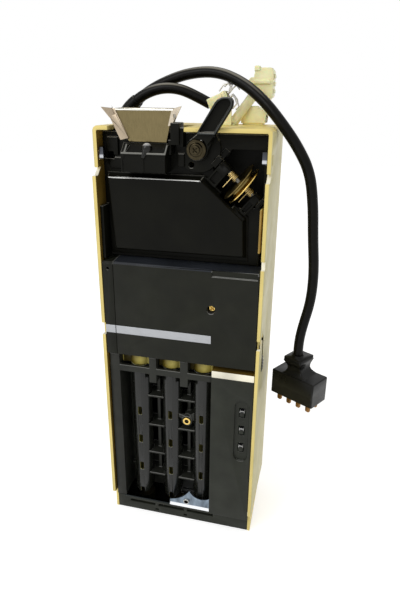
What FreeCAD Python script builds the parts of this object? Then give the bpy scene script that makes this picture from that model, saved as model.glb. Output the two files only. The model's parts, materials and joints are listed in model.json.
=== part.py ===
import FreeCAD, Part
import math
import os

# Coin changer for a vending machine: a cream plastic housing, open at the front, that holds a
# coin acceptor at the top, a logic unit behind a black cover, a three-tube coin cassette, a
# control panel with three buttons, a payout unit in the base, and two leads out of the top.
#
# Lengths are in millimetres. +X is to the right, +Z is up, and every Y in this file is a depth
# behind the front lip of the housing. save() then moves each piece so that the origin is the
# middle of the base: Y 0 in the finished part is half the depth behind the front lip.

V = FreeCAD.Vector

# ---- driving dimensions -------------------------------------------------------------------
WIDTH = 138.0              # outside of the housing
DEPTH = 79.0
HEIGHT = 366.0
WALL = 3.2                 # housing wall
BACK_WALL = 3.2
HALF = WIDTH / 2
INSIDE = HALF - WALL       # half the clear width inside the housing
CORNER = 4.0               # radius of the housing's top corners
GAP = 0.4                  # clearance between a module and the housing

SKIRT = 22.0               # height of the base section under the housing
BASE_SETBACK = 5.6         # base front behind the lip
BASE_INSET = 1.1           # base sides inside the housing sides
CHEEK = 2.6                # thickness of the base cheeks
TRAY_HALF = 60.0           # half width of the flat tray the changer stands on
TRAY_FRONT = 8.3
TRAY_BACK = 70.0
TRAY_WALL = 2.4
COIN_PAD = 9.4             # half width of the pad under each coin tube
PAD_BACK = 42.0

TOP_SETBACK = 5.5          # front edge of the top section behind the lip
STEP_Z = 329.0             # where the top section begins
STEP_NOTCH = 5.8           # height of the notch at the step
STRIPE_Z = (196.4, 203.6)  # silver stripe, and the notch in the left wall beside it
MOUNT_X = 45.0             # half the spacing of the rear mounting holes
MOUNT_Z = (75.0, 325.0)
MOUNT_HOLE = 2.75          # radius
HOUSING_SCREWS = [(x, z) for x in (-60.0, 60.0) for z in (40.0, 345.0)]

ACCEPTOR_FACE = 16.0       # depth of the acceptor's front plate
ACCEPTOR_PLATE = 3.0
ACCEPTOR_BACK = 56.0
ACCEPTOR_Z = (262.0, 361.6)
ACCEPTOR_NECK = 61.9       # half width of its right side beside the housing rib
NECK_Z = 311.0
SENSOR = 8.0                       # radius of a coin sensor's coil
SENSORS = ((-30.0, 311.0), (-6.0, 302.2), (18.0, 293.3))
FLAP = (38.8, 290.0)               # hinge of the accept flap
FLAP_PIN = 2.2                     # radius of its pin
FLAP_PUSH = 273.4                  # height at which the plunger meets it

FUNNEL_FRONT = 8.2                 # depth of the front wall
FUNNEL_BACK = (13.8, 38.0)         # depth of the back wall, at the foot and at the mouth
FUNNEL_LOW_X = (-40.4, -10.6)
FUNNEL_TOP_X = (-52.6, -5.0)
FUNNEL_LEAN = (0.154, -0.12)       # how far the sides open per millimetre of depth
FUNNEL_Z = (354.8, 378.5)
SHEET = 1.0
SOCKET_X = (-44.8, -9.6)           # lipped mouth under the funnel
SOCKET_WALL = 1.8

HINGE = V(45.8, 15.0, 325.9)       # middle of the gate shaft
HINGE_TILT = 41.0                  # degrees that the shaft falls to the right
SHAFT = 2.0                        # radius of the gate shaft
WHEEL = 16.4                       # radius of the grooved wheel
WHEEL_SLANT = 10.0                 # degrees that its axis leans out of the gate's plane
WHEEL_BORE = 2.65                  # loose on the shaft, because it hangs at a slant
ARMS = ((-21.4, -12.6), (12.6, 18.6))    # the gate's two hinge arms, along the shaft
GATE_FRONT = 7.0
GATE_BACK = 15.6

LEVER = V(12.5, 0, 350.3)          # pivot of the coin return lever, turning about Y
LEVER_PIVOT = 2.6                  # radius of the pivot screw
SPRING_RING = 6.6                  # radius of the lever spring's turn

COVER_Z = (175.9, 258.4)           # logic cover, from its lower edge to its front top edge
COVER_FACE = 0.3
COVER_SEAM = -56.0                 # between the narrow side strip and the cover
COVER_SCREW = (27.4, 226.6)
BOARD_BACK = 14.4                  # rear face of the control board
SHELF_Z = (164.7, 171.0)
LATCH_TOP = 200.0                  # room for the cassette latch's travel ends here

TUBE_PITCH = 29.2
TUBE_MID = -10.4
TUBE_X = [TUBE_MID + n * TUBE_PITCH for n in (-1, 0, 1)]
TUBE_Y = 16.0
TUBE = 9.2                         # outside radius of a coin tube
TUBE_WALL = 1.1
TUBE_Z = (21.6, 163.4)
CASSETTE_X = (-64.8, 28.0)
CASSETTE_Z = (18.2, 164.2)
CASSETTE_FRONT = 3.0
CASSETTE_BACK = 29.0
POSTS = ((-64.4, -55.6), (-28.0, -21.4), (0.2, 7.2))    # posts whose tops stand above the bar
POST_TOP = 175.2
RIB_Z = (131.8, 100.6, 69.6)
WEB_Z = (44.0, 150.0)              # webs between the tubes
BACK_TOP = 158.4                   # top of the cassette's back plate
PLATE = 2.0                        # thickness of the cassette's plates
FIT = 0.15                         # clearance round a coin tube
CASSETTE_SCREW = (5.0, 111.6)
CLAMP_Y = (10.0, 12.4)             # arms of the clamp under that screw
PLATE_SCREW = (5.9, 0.0, 24.0)     # in the zinc payout plate

PANEL_X = (28.5, 65.3)
PANEL_Z = (16.0, 164.2)
PANEL_FACE = 1.2
BUTTON_X = 56.2
BUTTON_Z = (95.8, 113.9, 131.9)
BUTTON_WINDOW = (5.2, 9.6)         # width and height
BUTTON_CAP = (4.3, 5.0)
PANEL_POSTS = ((44.0, 80.0), (44.0, 148.0), (62.0, 76.0), (62.0, 152.0))

SLIDE_Z = (8.9, 11.1)              # payout slides
SLIDE_HALF = 10.0
SLIDE_FRONT = 27.5                 # at rest, behind the coin
PLUNGER = 2.6                      # radius of the solenoid plungers
PLUNGER_Z = 12.6

CORD = 8.4                         # diameter of both leads
RELIEF = (5.7, 4.8)                # radius of a strain relief at its foot and at its tip
BOOT = V(12.4, 52.0, 381.2)        # start of the nylon boot on the accessory lead
BOOT_TILT = 24.0                   # degrees that it rises to the right
BOOT_LENGTH = 16.0
CELL_DEPTH = 4.0
SLEEVE = 3.8                       # radius of the harness sleeve
SLEEVE_FOOT = V(29.6, 53.5, 366.0)
SLEEVE_END = V(45.4, 61.0, 388.6)
CELLS = [(y, z) for z in (2.0, -2.0) for y in (-3.1, 0.0, 3.1)]
# Free ends of the contacts, from the open end of their cell onwards.
CONTACT_BENDS = (
    [(29.0, 48.8, 394.4), (27.4, 48.4, 396.8), (23.4, 48.2, 395.6), (20.6, 48.0, 391.4)],
    [(29.0, 52.0, 393.4), (29.8, 51.8, 395.8), (26.4, 51.6, 397.0), (24.0, 51.4, 394.6)],
    [(30.0, 55.2, 393.6), (32.6, 55.0, 395.4), (35.0, 54.8, 392.6)],
    [(30.2, 48.9, 388.6), (32.8, 48.6, 386.4), (34.4, 48.2, 382.0), (31.6, 48.0, 378.8)],
    [(30.6, 52.2, 389.0), (34.0, 52.0, 385.2), (35.4, 51.8, 380.0), (33.4, 51.6, 378.0)])
PLUG = V(100.7, 38.0, 159.6)       # middle of the plug body's top face
PLUG_YAW = -30.5
PLUG_SIZE = (43.3, 23.0, 22.6)     # along the blades' rows, across them, and up

# Routes of the two leads, from the gland to the far end.
POWER_ROUTE = [
    (-63.0, 62.5, 370.0), (-56.0, 62.5, 380.6), (-45.0, 61.6, 389.6), (-28.2, 60.0, 397.8),
    (-6.0, 57.4, 404.6), (18.0, 53.0, 405.4), (39.5, 46.0, 397.2), (56.8, 39.0, 384.6),
    (71.2, 33.6, 369.6), (84.4, 33.0, 353.0), (95.2, 34.5, 334.0), (99.6, 36.0, 309.0),
    (101.8, 37.2, 282.0), (105.0, 38.0, 254.0), (104.6, 38.0, 228.0), (99.6, 38.0, 204.0),
    (97.6, 38.0, 188.0), (97.9, 38.0, 176.6)]
ACCESSORY_ROUTE = [
    (-62.2, 51.6, 370.0), (-54.2, 51.7, 380.6), (-43.2, 51.9, 388.4), (-30.0, 52.0, 393.0),
    (-16.0, 52.0, 393.3), (-2.7, 52.0, 389.2), (12.6, 52.0, 381.6)]


# ---- small builders -----------------------------------------------------------------------
def box(x, y, z):
    """A block between the given pairs of limits."""
    corner = V(min(x), min(y), min(z))
    return Part.makeBox(abs(x[1] - x[0]), abs(y[1] - y[0]), abs(z[1] - z[0]), corner)


def centred(point, size):
    """A block of the given size about a point."""
    return box(*[(c - s / 2, c + s / 2) for c, s in zip(point, size)])


def rod(start, axis, radius, length):
    return Part.makeCylinder(radius, length, V(*start), V(*axis))


def tube(start, axis, outer, inner, length):
    return rod(start, axis, outer, length).cut(rod(start, axis, inner, length))


def union(shapes):
    first, rest = shapes[0], shapes[1:]
    return first.multiFuse(rest).removeSplitter() if rest else first


def minus(shape, tools):
    return shape.cut(Part.makeCompound(tools)) if tools else shape


def in_plane(plane, level, u, v):
    return {"xz": V(u, level, v), "yz": V(level, u, v), "xy": V(u, v, level)}[plane]


def outline(points, plane, level):
    """A closed face; a point may carry a third number, the radius of its rounded corner."""
    corners = [(V(p[0], p[1], 0), p[2] if len(p) > 2 else 0) for p in points]
    edges = []
    path = []
    for i, (here, radius) in enumerate(corners):
        if not radius:
            path.append((here, None, here))
            continue
        back = (corners[i - 1][0] - here).normalize()
        ahead = (corners[(i + 1) % len(corners)][0] - here).normalize()
        half = back.getAngle(ahead) / 2
        reach = radius / math.tan(half)
        middle = (back + ahead).normalize()
        centre = here + middle * (radius / math.sin(half))
        path.append((here + back * reach, centre - middle * radius, here + ahead * reach))

    def place(p):
        return in_plane(plane, level, p.x, p.y)

    for i, (start, mid, end) in enumerate(path):
        if mid is not None:
            edges.append(Part.Arc(place(start), place(mid), place(end)).toShape())
        following = path[(i + 1) % len(path)][0]
        if (following - end).Length > 1e-6:
            edges.append(Part.makeLine(place(end), place(following)))
    return Part.Face(Part.Wire(edges))


def prism(points, plane, span):
    """The outline pushed along the plane's normal from span[0] to span[1]."""
    push = {"xz": V(0, 1, 0), "yz": V(1, 0, 0), "xy": V(0, 0, 1)}[plane]
    return outline(points, plane, span[0]).extrude(push * (span[1] - span[0]))


def frame_points(x, z, radius=0.0):
    return [(x[0], z[0], radius), (x[1], z[0], radius), (x[1], z[1], radius),
            (x[0], z[1], radius)]


def turned(shape, centre, axis, degrees):
    copy = shape.copy()
    copy.rotate(V(*centre), V(*axis), degrees)
    return copy


def along_hinge(shape):
    """Moves a piece modelled about +X at the origin onto the tilted gate shaft."""
    copy = turned(shape, (0, 0, 0), (0, 1, 0), HINGE_TILT)
    copy.translate(HINGE)
    return copy


def on_wheel_axis(shape):
    """The same for a piece of the wheel, which hangs at a slant on the shaft."""
    return along_hinge(turned(shape, (0, 0, 0), (0, 0, 1), WHEEL_SLANT))


def screw(head_centre, axis, head, shank, lengths, cross=True):
    """A pan head screw: the head stands on head_centre, the shank runs against the axis."""
    axis = V(*axis)
    body = rod(head_centre, axis, head, lengths[0])
    body = body.fuse(rod(V(*head_centre) - axis * lengths[1], axis, shank, lengths[1] + 0.1))
    if not cross:
        return body
    top = V(*head_centre) + axis * lengths[0]
    side = V(0, 0, 1) if abs(axis.z) < 0.5 else V(1, 0, 0)
    bars = []
    for turn in (45, 135):
        bar = Part.makeBox(head * 1.3, head * 0.26, head * 0.5,
                           V(-head * 0.65, -head * 0.13, -head * 0.5))
        bar.rotate(V(0, 0, 0), V(0, 0, 1), turn)
        bar.Placement = FreeCAD.Placement(top, FreeCAD.Rotation(side.cross(axis), side, axis,
                                                                "ZXY")).multiply(bar.Placement)
        bars.append(bar)
    return minus(body, bars)


def coil(radius, wire, turns, pitch):
    """A helical spring about +X, starting at the origin."""
    helix = Part.makeHelix(pitch, pitch * turns, radius)
    section = Part.Wire(Part.makeCircle(wire, V(radius, 0, 0), V(0, 1, 0)))
    spring = Part.Wire(helix).makePipeShell([section], True, True)
    spring.rotate(V(0, 0, 0), V(0, 1, 0), 90)
    return spring


def lead_path(route):
    """Straight runs joined by tangent arcs along a hand-set route, and the arcs' radii."""
    points = [V(*p) for p in route]
    edges = []
    radii = []
    last = points[0]
    for before, here, after in zip(points, points[1:], points[2:]):
        back, ahead = before - here, after - here
        turn = math.pi - back.getAngle(ahead)
        reach = 0.45 * min(back.Length, ahead.Length)
        radius = reach / math.tan(turn / 2)
        back.normalize()
        ahead.normalize()
        middle = (back + ahead).normalize() * (radius / math.cos(turn / 2) - radius)
        start, end = here + back * reach, here + ahead * reach
        edges.append(Part.LineSegment(last, start).toShape())
        edges.append(Part.Arc(start, here + middle, end).toShape())
        radii.append(radius)
        last = end
    edges.append(Part.LineSegment(last, points[-1]).toShape())
    return edges, radii


def lead(route, name=None):
    """A round lead along its route."""
    edges, radii = lead_path(route)
    path = Part.Wire(edges)
    start, following = V(*route[0]), V(*route[1])
    section = Part.Wire(Part.makeCircle(CORD / 2, start, following - start))
    body = path.makePipeShell([section], True, False)
    if name:
        exact = math.pi * (CORD / 2) ** 2 * path.Length
        print(name, "length %.1f" % path.Length, "volume ratio %.4f" % (body.Volume / exact),
              "radii", " ".join("%.0f" % r for r in radii))
    return body


def save(name, shape):
    shape = shape.copy()
    shape.translate(V(0, -DEPTH / 2, 0))
    for solid in shape.Solids:
        if not solid.isValid() or not solid.isClosed():
            print("PROBLEM", name)
    if len(shape.Solids) > 1:
        shape = Part.makeCompound(shape.Solids)
    shape.exportStep("parts/%s.step" % name)


# ---- housing and base ---------------------------------------------------------------------
def rear_housing():
    corners = [(-HALF, SKIRT, 0.8), (HALF, SKIRT, 0.8), (HALF, HEIGHT, CORNER),
               (-HALF, HEIGHT, CORNER)]
    body = prism(corners, "xz", (0, DEPTH))
    back_edges = [e for e in body.Edges
                  if e.BoundBox.YMin > DEPTH - 0.01 and e.BoundBox.ZMin > SKIRT + 0.5]
    body = body.makeFillet(2.0, back_edges)
    inner = frame_points((-INSIDE, INSIDE), (SKIRT - 1, HEIGHT - WALL), 1.2)
    cavity = prism(inner, "xz", (-1, DEPTH - BACK_WALL))
    body = body.cut(cavity.fuse(box((-INSIDE, INSIDE), (-1, DEPTH - BACK_WALL),
                                    (SKIRT - 1, SKIRT + 3))))
    over = (-HALF - 1, HALF + 1)
    notch_top = STEP_Z + STEP_NOTCH
    step_notch = [(-1, STEP_Z), (4.5, STEP_Z), (10.5, notch_top), (-1, notch_top)]
    cuts = [box(over, (-1, TOP_SETBACK), (notch_top, HEIGHT + 1)),
            prism(step_notch, "yz", over)]
    # the notch for the stripe's end, on both sides, and a small one on the right
    cuts.append(box((-HALF - 1, -INSIDE + 1), (-1, 5.0), (STRIPE_Z[0] - 2.6, STRIPE_Z[1] + 1.0)))
    cuts.append(box((INSIDE - 1, HALF + 1), (-1, 3.2), (STRIPE_Z[0] - 1.2, STRIPE_Z[1] - 0.4)))
    cuts.append(box((INSIDE - 1, HALF + 1), (-1, 3.4), (263.4, 270.2)))
    # slot for the cassette latch, with the shallow ramp in front of it
    cuts.append(box((INSIDE - 1, HALF + 1), (14.0, 20.4), (168.0, 201.0)))
    ramp = [(3.0, 195.2), (14.0, 199.0), (14.0, 208.0), (3.0, 203.4)]
    cuts.append(prism(ramp, "yz", (HALF - 1.2, HALF + 1)))
    # windows for the side latches
    for side in (-1, 1):
        cuts.append(box(sorted((side * (INSIDE - 1), side * (HALF + 1))), (8.6, 13.6),
                        (340.4, 347.8)))
    # coin entry cut-out and the lead outlets in the top
    cuts.append(box((-56.5, 3.4), (-1, 42), (HEIGHT - WALL - 1, HEIGHT + 1)))
    for x, y in ((POWER_ROUTE[0][0], POWER_ROUTE[0][1]), ACCESSORY_ROUTE[0][:2]):
        cuts.append(rod((x, y, HEIGHT - 10), (0, 0, 1), 4.7, 20))
    cuts.append(rod((SLEEVE_FOOT.x, SLEEVE_FOOT.y, HEIGHT - 6), (0, 0, 1), SLEEVE + 0.9, 8))
    # rear mounting holes and counterbored holes for the assembly screws
    for x in (-MOUNT_X, MOUNT_X):
        for z in MOUNT_Z:
            cuts.append(rod((x, DEPTH - 10, z), (0, 1, 0), MOUNT_HOLE, 20))
    for x, z in HOUSING_SCREWS:
        cuts.append(rod((x, DEPTH - 10, z), (0, 1, 0), 1.7, 20))
        cuts.append(rod((x, DEPTH - 2.0, z), (0, 1, 0), 3.5, 5))
    body = minus(body, cuts)
    # stiffening frame pressed into the back, and the rib inside the right wall
    groove = prism(frame_points((-54, 54), (90, 310), 8), "xz", (DEPTH - 0.8, DEPTH + 1))
    core = prism(frame_points((-50.5, 50.5), (93.5, 306.5), 6), "xz", (DEPTH - 2, DEPTH + 2))
    body = body.cut(groove.cut(core))
    vents = [prism(frame_points((-26, 26), (z, z + 2.6), 1.25), "xz", (DEPTH - 10, DEPTH + 1))
             for z in [206 + 8 * n for n in range(5)]]
    body = minus(body, vents)
    rib = box((62.2, 63.8), (6, 22), (275, 308.6))
    foot = box((62.2, INSIDE + 0.5), (18, 22), (275, 308.6))
    return body.fuse(rib).fuse(foot).removeSplitter()


def housing_screws():
    return Part.makeCompound([screw((x, DEPTH - 2.0, z), (0, 1, 0), 3.2, 1.5, (1.8, 9.0))
                              for x, z in HOUSING_SCREWS])


def base_frame():
    """Cream base: sloping cheeks, the ledge under the housing, and the tray with its coin pads."""
    outer, top = HALF - BASE_INSET, SKIRT - 0.2
    back = DEPTH - GAP
    slope = [(BASE_SETBACK, 0), (9.0, 0), (back, SKIRT - 0.6), (back, top), (BASE_SETBACK, top)]
    pieces = []
    for side in (-1, 1):
        pieces.append(prism(slope, "yz", sorted((side * outer, side * (outer - CHEEK)))))
        pieces.append(box((side * TRAY_HALF, side * (TRAY_HALF - TRAY_WALL)),
                          (TRAY_FRONT, TRAY_BACK), (0, top)))
    pieces.append(box((-TRAY_HALF, TRAY_HALF), (TRAY_FRONT, TRAY_BACK), (0, TRAY_WALL)))
    pieces.append(box((-TRAY_HALF, TRAY_HALF), (TRAY_BACK - TRAY_WALL, TRAY_BACK), (0, top)))
    ledge = box((-outer, outer), (TRAY_FRONT, back), (top - 2.2, top))
    clear = TRAY_HALF - TRAY_WALL
    pieces.append(ledge.cut(box((-clear, clear), (0, TRAY_BACK - TRAY_WALL),
                                (SKIRT - 4, SKIRT + 1))))
    pieces += [box((x - COIN_PAD, x + COIN_PAD), (TRAY_FRONT, PAD_BACK),
                   (TRAY_WALL - 0.4, SLIDE_Z[0] - 0.3)) for x in TUBE_X]
    path = box((-outer + CHEEK + 0.1, PANEL_X[0] - 0.1), (0, 37.0), (15.7, SKIRT))
    return union(pieces).cut(path)


def base_plate():
    half = HALF - BASE_INSET - CHEEK - 0.1
    plate = box((-half, half), (BASE_SETBACK, 8.2), (0.5, 15.5))
    cuts = [prism(frame_points((x - 13, x + 13), (8.5, 11.3), 0.5), "xz", (0, 20))
            for x in TUBE_X]
    for x in TUBE_X[:2]:
        mid = x + TUBE_PITCH / 2
        cuts.append(box((mid - 1.8, mid + 1.8), (0, 20), (3.0, 5.0)))
    return minus(plate, cuts)


# ---- coin acceptor ------------------------------------------------------------------------
def acceptor_outline(inset=0.0):
    half, neck = INSIDE - GAP - inset, ACCEPTOR_NECK - inset
    low, high = ACCEPTOR_Z[0] + inset, ACCEPTOR_Z[1] - inset
    return [(-half, low), (neck, low), (neck, NECK_Z + inset), (half, NECK_Z + inset),
            (half, high), (-half, high)]


def funnel_throat():
    """Room for the funnel's foot in the acceptor, with the funnel itself."""
    low, top = FUNNEL_Z
    throat = Part.makeLoft([mouth(0.4, low - 0.3, True), mouth(0.4, top, False)], True, True)
    return [throat, funnel()]


def acceptor_shell():
    """Walls behind the acceptor's front plate, with the opening where coins drop out."""
    back = ACCEPTOR_FACE + ACCEPTOR_PLATE
    shell = prism(acceptor_outline(), "xz", (back, ACCEPTOR_BACK))
    shell = shell.cut(prism(acceptor_outline(2.0), "xz", (back - 1, ACCEPTOR_BACK + 1)))
    drop = box((36, 54), (back + 2, ACCEPTOR_BACK - 6), (ACCEPTOR_Z[0] - 1, ACCEPTOR_Z[0] + 3))
    behind_wheel = box((20.0, INSIDE - GAP - 1.0), (33.5, 35.5), (304.0, 352.0))
    return minus(shell.fuse(behind_wheel), [drop] + funnel_throat())


def hinge_lugs():
    """Two lugs that carry the gate shaft."""
    inside = prism(acceptor_outline(0.3), "xz", (0, ACCEPTOR_FACE + ACCEPTOR_PLATE))
    lugs = []
    for start, end in ((-26.4, -22.0), (19.2, 22.4)):
        lug = box((start, end), (-4.4, 9.0), (-4.2, 4.2))
        lug = lug.fuse(box((start, end), (0.8, 4.0), (-4.2, 11.0)))
        lug = lug.cut(rod((start - 1, 0, 0), (1, 0, 0), SHAFT + 0.05, end - start + 2))
        lugs.append(along_hinge(lug).common(inside))
    return lugs


def acceptor_body():
    """Front plate of the acceptor with its bosses, coin track, hinge lugs and lever shield."""
    face, back = ACCEPTOR_FACE, ACCEPTOR_FACE + ACCEPTOR_PLATE
    half = INSIDE - GAP
    adds = [box((-half, -half + 2.6), (3.6, face), (ACCEPTOR_Z[0], 305.4)),
            box((-61.0, -52.0), (face - 2.2, face), (344.0, 357.5)),
            box((-6.0, 0.6), (3.0, face), (353.6, 369.2)),
            box((0.6, 3.0), (6.0, face), (352.0, 365.4)),
            box((-8.6, -6.4), (6.0, face), (346.0, 357.0)),
            box((-2.6, 2.2), (face - 5, face), (337.2, 346.8)),
            box((15.4, 16.8), (face - 2.4, face), (333.6, 341.0)),
            box((-59.8, -46.6), (face - 1.0, face), (333.6, 342.0))]
    # round shield behind the lever hub
    shield = rod((LEVER.x, 12.8, LEVER.z), (0, 1, 0), 17.4, face - 12.8)
    adds.append(shield.common(box((-20, 60), (0, 40), (333.2, ACCEPTOR_Z[1]))))
    # coin track behind the gate, falling to the right, and the boss of the accept flap
    track = [(-50, 306), (34, 275), (34, 272), (-50, 303)]
    adds.append(prism(track, "xz", (face - 3.2, face)))
    adds.append(rod((FLAP[0], back, FLAP[1]), (0, 1, 0), FLAP_PIN + 1.8, 4.4))
    # pocket for the gate shaft and the wheel
    pocket = [(22.0, 344.6), (34.5, 345.0), (38.0, 350.6), (62.4, 350.6), (62.4, 313.0),
              (57.0, 308.0), (36.0, 307.0), (29.0, 314.4)]
    cuts = [prism(pocket, "xz", (face - 0.5, back + 1)),
            along_hinge(rod((-27.0, 0, 0), (1, 0, 0), SHAFT + 0.3, 50.4)),
            rod((7.4, 0, 338.6), (0, 1, 0), 2.2, 40),
            rod((LEVER.x, 0, LEVER.z), (0, 1, 0), LEVER_PIVOT + 0.1, 40),
            rod((FLAP[0], back - 1, FLAP[1]), (0, 1, 0), FLAP_PIN + 0.05, 10),
            box((-36, -18), (face - 4, back + 1), (331.5, 337.0))]
    cuts += [rod((x, face - 1, z), (0, 1, 0), SENSOR + 0.2, ACCEPTOR_PLATE + 2)
             for x, z in SENSORS]
    cuts += [box((side * 56, side * 64.4), (face - 3, back + 1), (341.0, 346.4))
             for side in (-1, 1)]
    plate = minus(union([prism(acceptor_outline(), "xz", (face, back))] + adds), cuts)
    return minus(union([plate] + hinge_lugs()), funnel_throat())


def sensor_coils():
    back = ACCEPTOR_FACE + ACCEPTOR_PLATE
    coils = []
    for x, z in SENSORS:
        core = rod((x, ACCEPTOR_FACE, z), (0, 1, 0), SENSOR, 8)
        flange = tube((x, back, z), (0, 1, 0), SENSOR + 1.6, SENSOR - 0.5, 1.4)
        coils.append(core.fuse(flange).fuse(rod((x, back + 3.4, z), (0, 1, 0), SENSOR + 1.6, 1.6)))
    return Part.makeCompound(coils)


def chute_socket():
    """The lipped mouth under the funnel, ribbed below, hollow for the coin."""
    x = SOCKET_X
    body = prism([(1.6, 332.8), (15.8, 332.8), (15.8, 353.6), (8.0, 353.6), (1.6, 347.2)], "yz", x)
    lip = [(0.8, 345.4), (1.7, 345.4), (1.7, 346.6), (8.6, 353.6), (8.0, 354.4), (0.8, 347.3)]
    ribs = [box((at, at + 1.5), (0.8, 2.0), (332.8, 346.0)) for at in (-44.8, -27.9, -11.1)]
    ribs += [prism(wall, "xz", (0.8, 5.6)) for wall in (
        [(-44.3, 342.4), (-43.1, 342.0), (-39.0, 353.2), (-40.2, 353.6)],
        [(-11.7, 342.0), (-10.6, 342.0), (-7.3, 353.4), (-8.5, 353.6)])]
    hollow = prism([(3.4, 334.4), (14.2, 334.4), (14.2, 354.6), (8.4, 354.6), (3.4, 349.6)], "yz",
                   (x[0] + SOCKET_WALL, x[1] - SOCKET_WALL))
    return minus(union([body, prism(lip, "yz", x)] + ribs),
                 [hollow, box((-34, -19), (4, 14), (331, 336))])


def chute_pin():
    """Round-headed finger across the mouth, with its small brass tip."""
    x, z = -24.6, 350.3
    ball = Part.makeSphere(4.1, V(x, 4.0, z))
    stem = Part.makeCone(3.0, 1.2, 6.4, V(x - 0.6, 3.4, z - 1.6), V(-0.3, -0.5, -0.8))
    bridge = box((x - 0.9, x + 0.9), (4.6, 14.0), (z - 1.6, z + 0.4))
    pin = union([ball, stem, bridge]).cut(chute_socket())
    return max(pin.Solids, key=lambda solid: solid.Volume)


def mouth(grow, z, low):
    """Rectangle of the funnel at one level, with sides that open towards the back."""
    front = FUNNEL_FRONT - grow
    back = (FUNNEL_BACK[0] if low else FUNNEL_BACK[1]) + grow
    left, right = FUNNEL_LOW_X if low else FUNNEL_TOP_X
    left, right, deep = left - grow, right + grow, back - front
    corners = [V(left, front, z), V(right, front, z), V(right + FUNNEL_LEAN[1] * deep, back, z),
               V(left - FUNNEL_LEAN[0] * deep, back, z)]
    return Part.makePolygon(corners + corners[:1])


def bent_sheet(corner, down, tip, share, thickness):
    """A flat wing of sheet: from corner to its tip, and shorter by the share lower down."""
    corner, down, tip = V(*corner), V(*down), V(*tip)
    low = down + (tip - corner) * share
    face = Part.Face(Part.makePolygon([corner, down, low, tip, corner]))
    across = (down - corner).cross(tip - corner).normalize()
    if across.y < 0:
        across = across * -1
    return face.extrude(across * thickness)


def funnel():
    """Sheet metal coin funnel: four leaning walls, a folded left flange and flared wings."""
    low, top = FUNNEL_Z
    body = Part.makeLoft([mouth(0, low, True), mouth(0, top, False)], True, True)
    inside = Part.makeLoft([mouth(-SHEET, low - 0.02, True), mouth(-SHEET, top + 0.02, False)],
                           True, True)
    hem = box((-52.4, -5.2), (7.3, 8.4), (top - 1.4, top))
    flange = prism([(-54.6, 372.4), (-49.6, 374.4), (-40.0, 357.4), (-46.6, 355.8)], "xz",
                   (6.4, 7.4))
    bend = prism([(-52.6, 378.4), (-50.6, 378.4), (-40.0, 357.4), (-41.6, 356.4)], "xz",
                 (6.9, 8.6))
    left = bent_sheet((-51.4, 8.3, 378.4), (-49.4, 8.3, 371.2), (-59.6, 3.0, 379.4), 0.55, 0.8)
    right = bent_sheet((-6.4, 8.3, 378.4), (-9.4, 8.3, 366.4), (2.4, 2.8, 380.6), 0.45, 0.8)
    sheet = body.cut(inside).multiFuse([hem, flange, bend, left, right])
    return sheet.cut(rod((-3.6, -2, 373.6), (0, 1, 0), 1.5, 9.4))


def gate_outline(level, grow, front):
    if front:
        points = [(-59.0, 327.8), (15.8, 327.8), (49.2, 298.8), (50.4, 271.0), (-54.8, 270.4)]
    else:
        points = [(-61.0, 330.2), (16.8, 330.2), (51.2, 300.3), (52.4, 268.8), (-57.0, 268.0)]
    cx, cz = -5.0, 300.0
    moved = [V(x + grow * math.copysign(1, x - cx), level, z + grow * math.copysign(1, z - cz))
             for x, z in points]
    return Part.makePolygon(moved + [moved[0]])


def gate_cover():
    """Hinged black cover of the coin track: a raised, bevelled pan with two hinge arms."""
    pan = Part.makeLoft([gate_outline(14.0, 0, False), gate_outline(GATE_FRONT, 0, True)],
                        True, True)
    front = [e for e in pan.Edges if e.BoundBox.YMax < GATE_FRONT + 0.01]
    pan = pan.makeFillet(1.3, front)
    inner = Part.makeLoft([gate_outline(14.4, -1.8, False),
                           gate_outline(GATE_FRONT + 1.8, -1.8, True)], True, True)
    rim = [(-62.0, 331.0), (17.2, 331.0), (52.2, 300.7), (53.4, 265.8), (-61.6, 264.4)]
    flange = prism(rim, "xz", (14.0, GATE_BACK))
    hollow = prism([(-57.5, 328), (15.0, 328), (49.0, 298.4), (50.0, 271), (-54.0, 270.4)], "xz",
                   (13.8, GATE_BACK + 1))
    slot = on_wheel_axis(rod((-6.6, 0, 0), (1, 0, 0), WHEEL + 1.4, 13.2))
    body = union([pan, flange]).cut(inner).cut(hollow).cut(slot)
    arms = []
    for start, end in ARMS:
        arm = box((start, end), (-4.2, 0.6), (-15.6, 2.0))
        eye = rod((start, 0, 0), (1, 0, 0), 4.2, end - start)
        pocket = box((start + 1.6, end - 1.6), (-6, -1.6), (-13.4, -4.6))
        arm = union([arm, eye]).cut(pocket)
        arm = arm.cut(rod((start - 1, 0, 0), (1, 0, 0), SHAFT + 0.3, end - start + 2))
        arms.append(along_hinge(arm))
    return union([body] + arms)


def gate_shaft():
    return along_hinge(rod((-26.0, 0, 0), (1, 0, 0), SHAFT, 48.2))


def grooved_wheel():
    """Two dished brass discs with a groove between them, free on the gate shaft."""
    profile = [(-2.6, WHEEL_BORE), (-2.6, 6.0), (-1.9, 7.4), (-3.0, 14.6), (-2.8, WHEEL),
               (-2.0, WHEEL), (-0.8, 11.0), (0.8, 11.0), (2.0, WHEEL), (2.8, WHEEL),
               (3.0, 14.6), (1.9, 7.4), (2.6, 6.0), (2.6, WHEEL_BORE)]
    face = Part.Face(Part.makePolygon([V(x, 0, r) for x, r in profile + profile[:1]]))
    return on_wheel_axis(face.revolve(V(0, 0, 0), V(1, 0, 0), 360))


def gate_springs():
    """A torsion spring on each side of the wheel, each with a straight end along the arm."""
    springs = []
    for start in (-11.8, 4.4):
        body = coil(3.1, 0.36, 8, 0.88)
        body.translate(V(start, 0, 0))
        leg = rod((start + 3.5, -3.1, 0), (0, -0.25, -1), 0.36, 10.4)
        springs += [along_hinge(body), along_hinge(leg)]
    return Part.makeCompound(springs)


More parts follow.
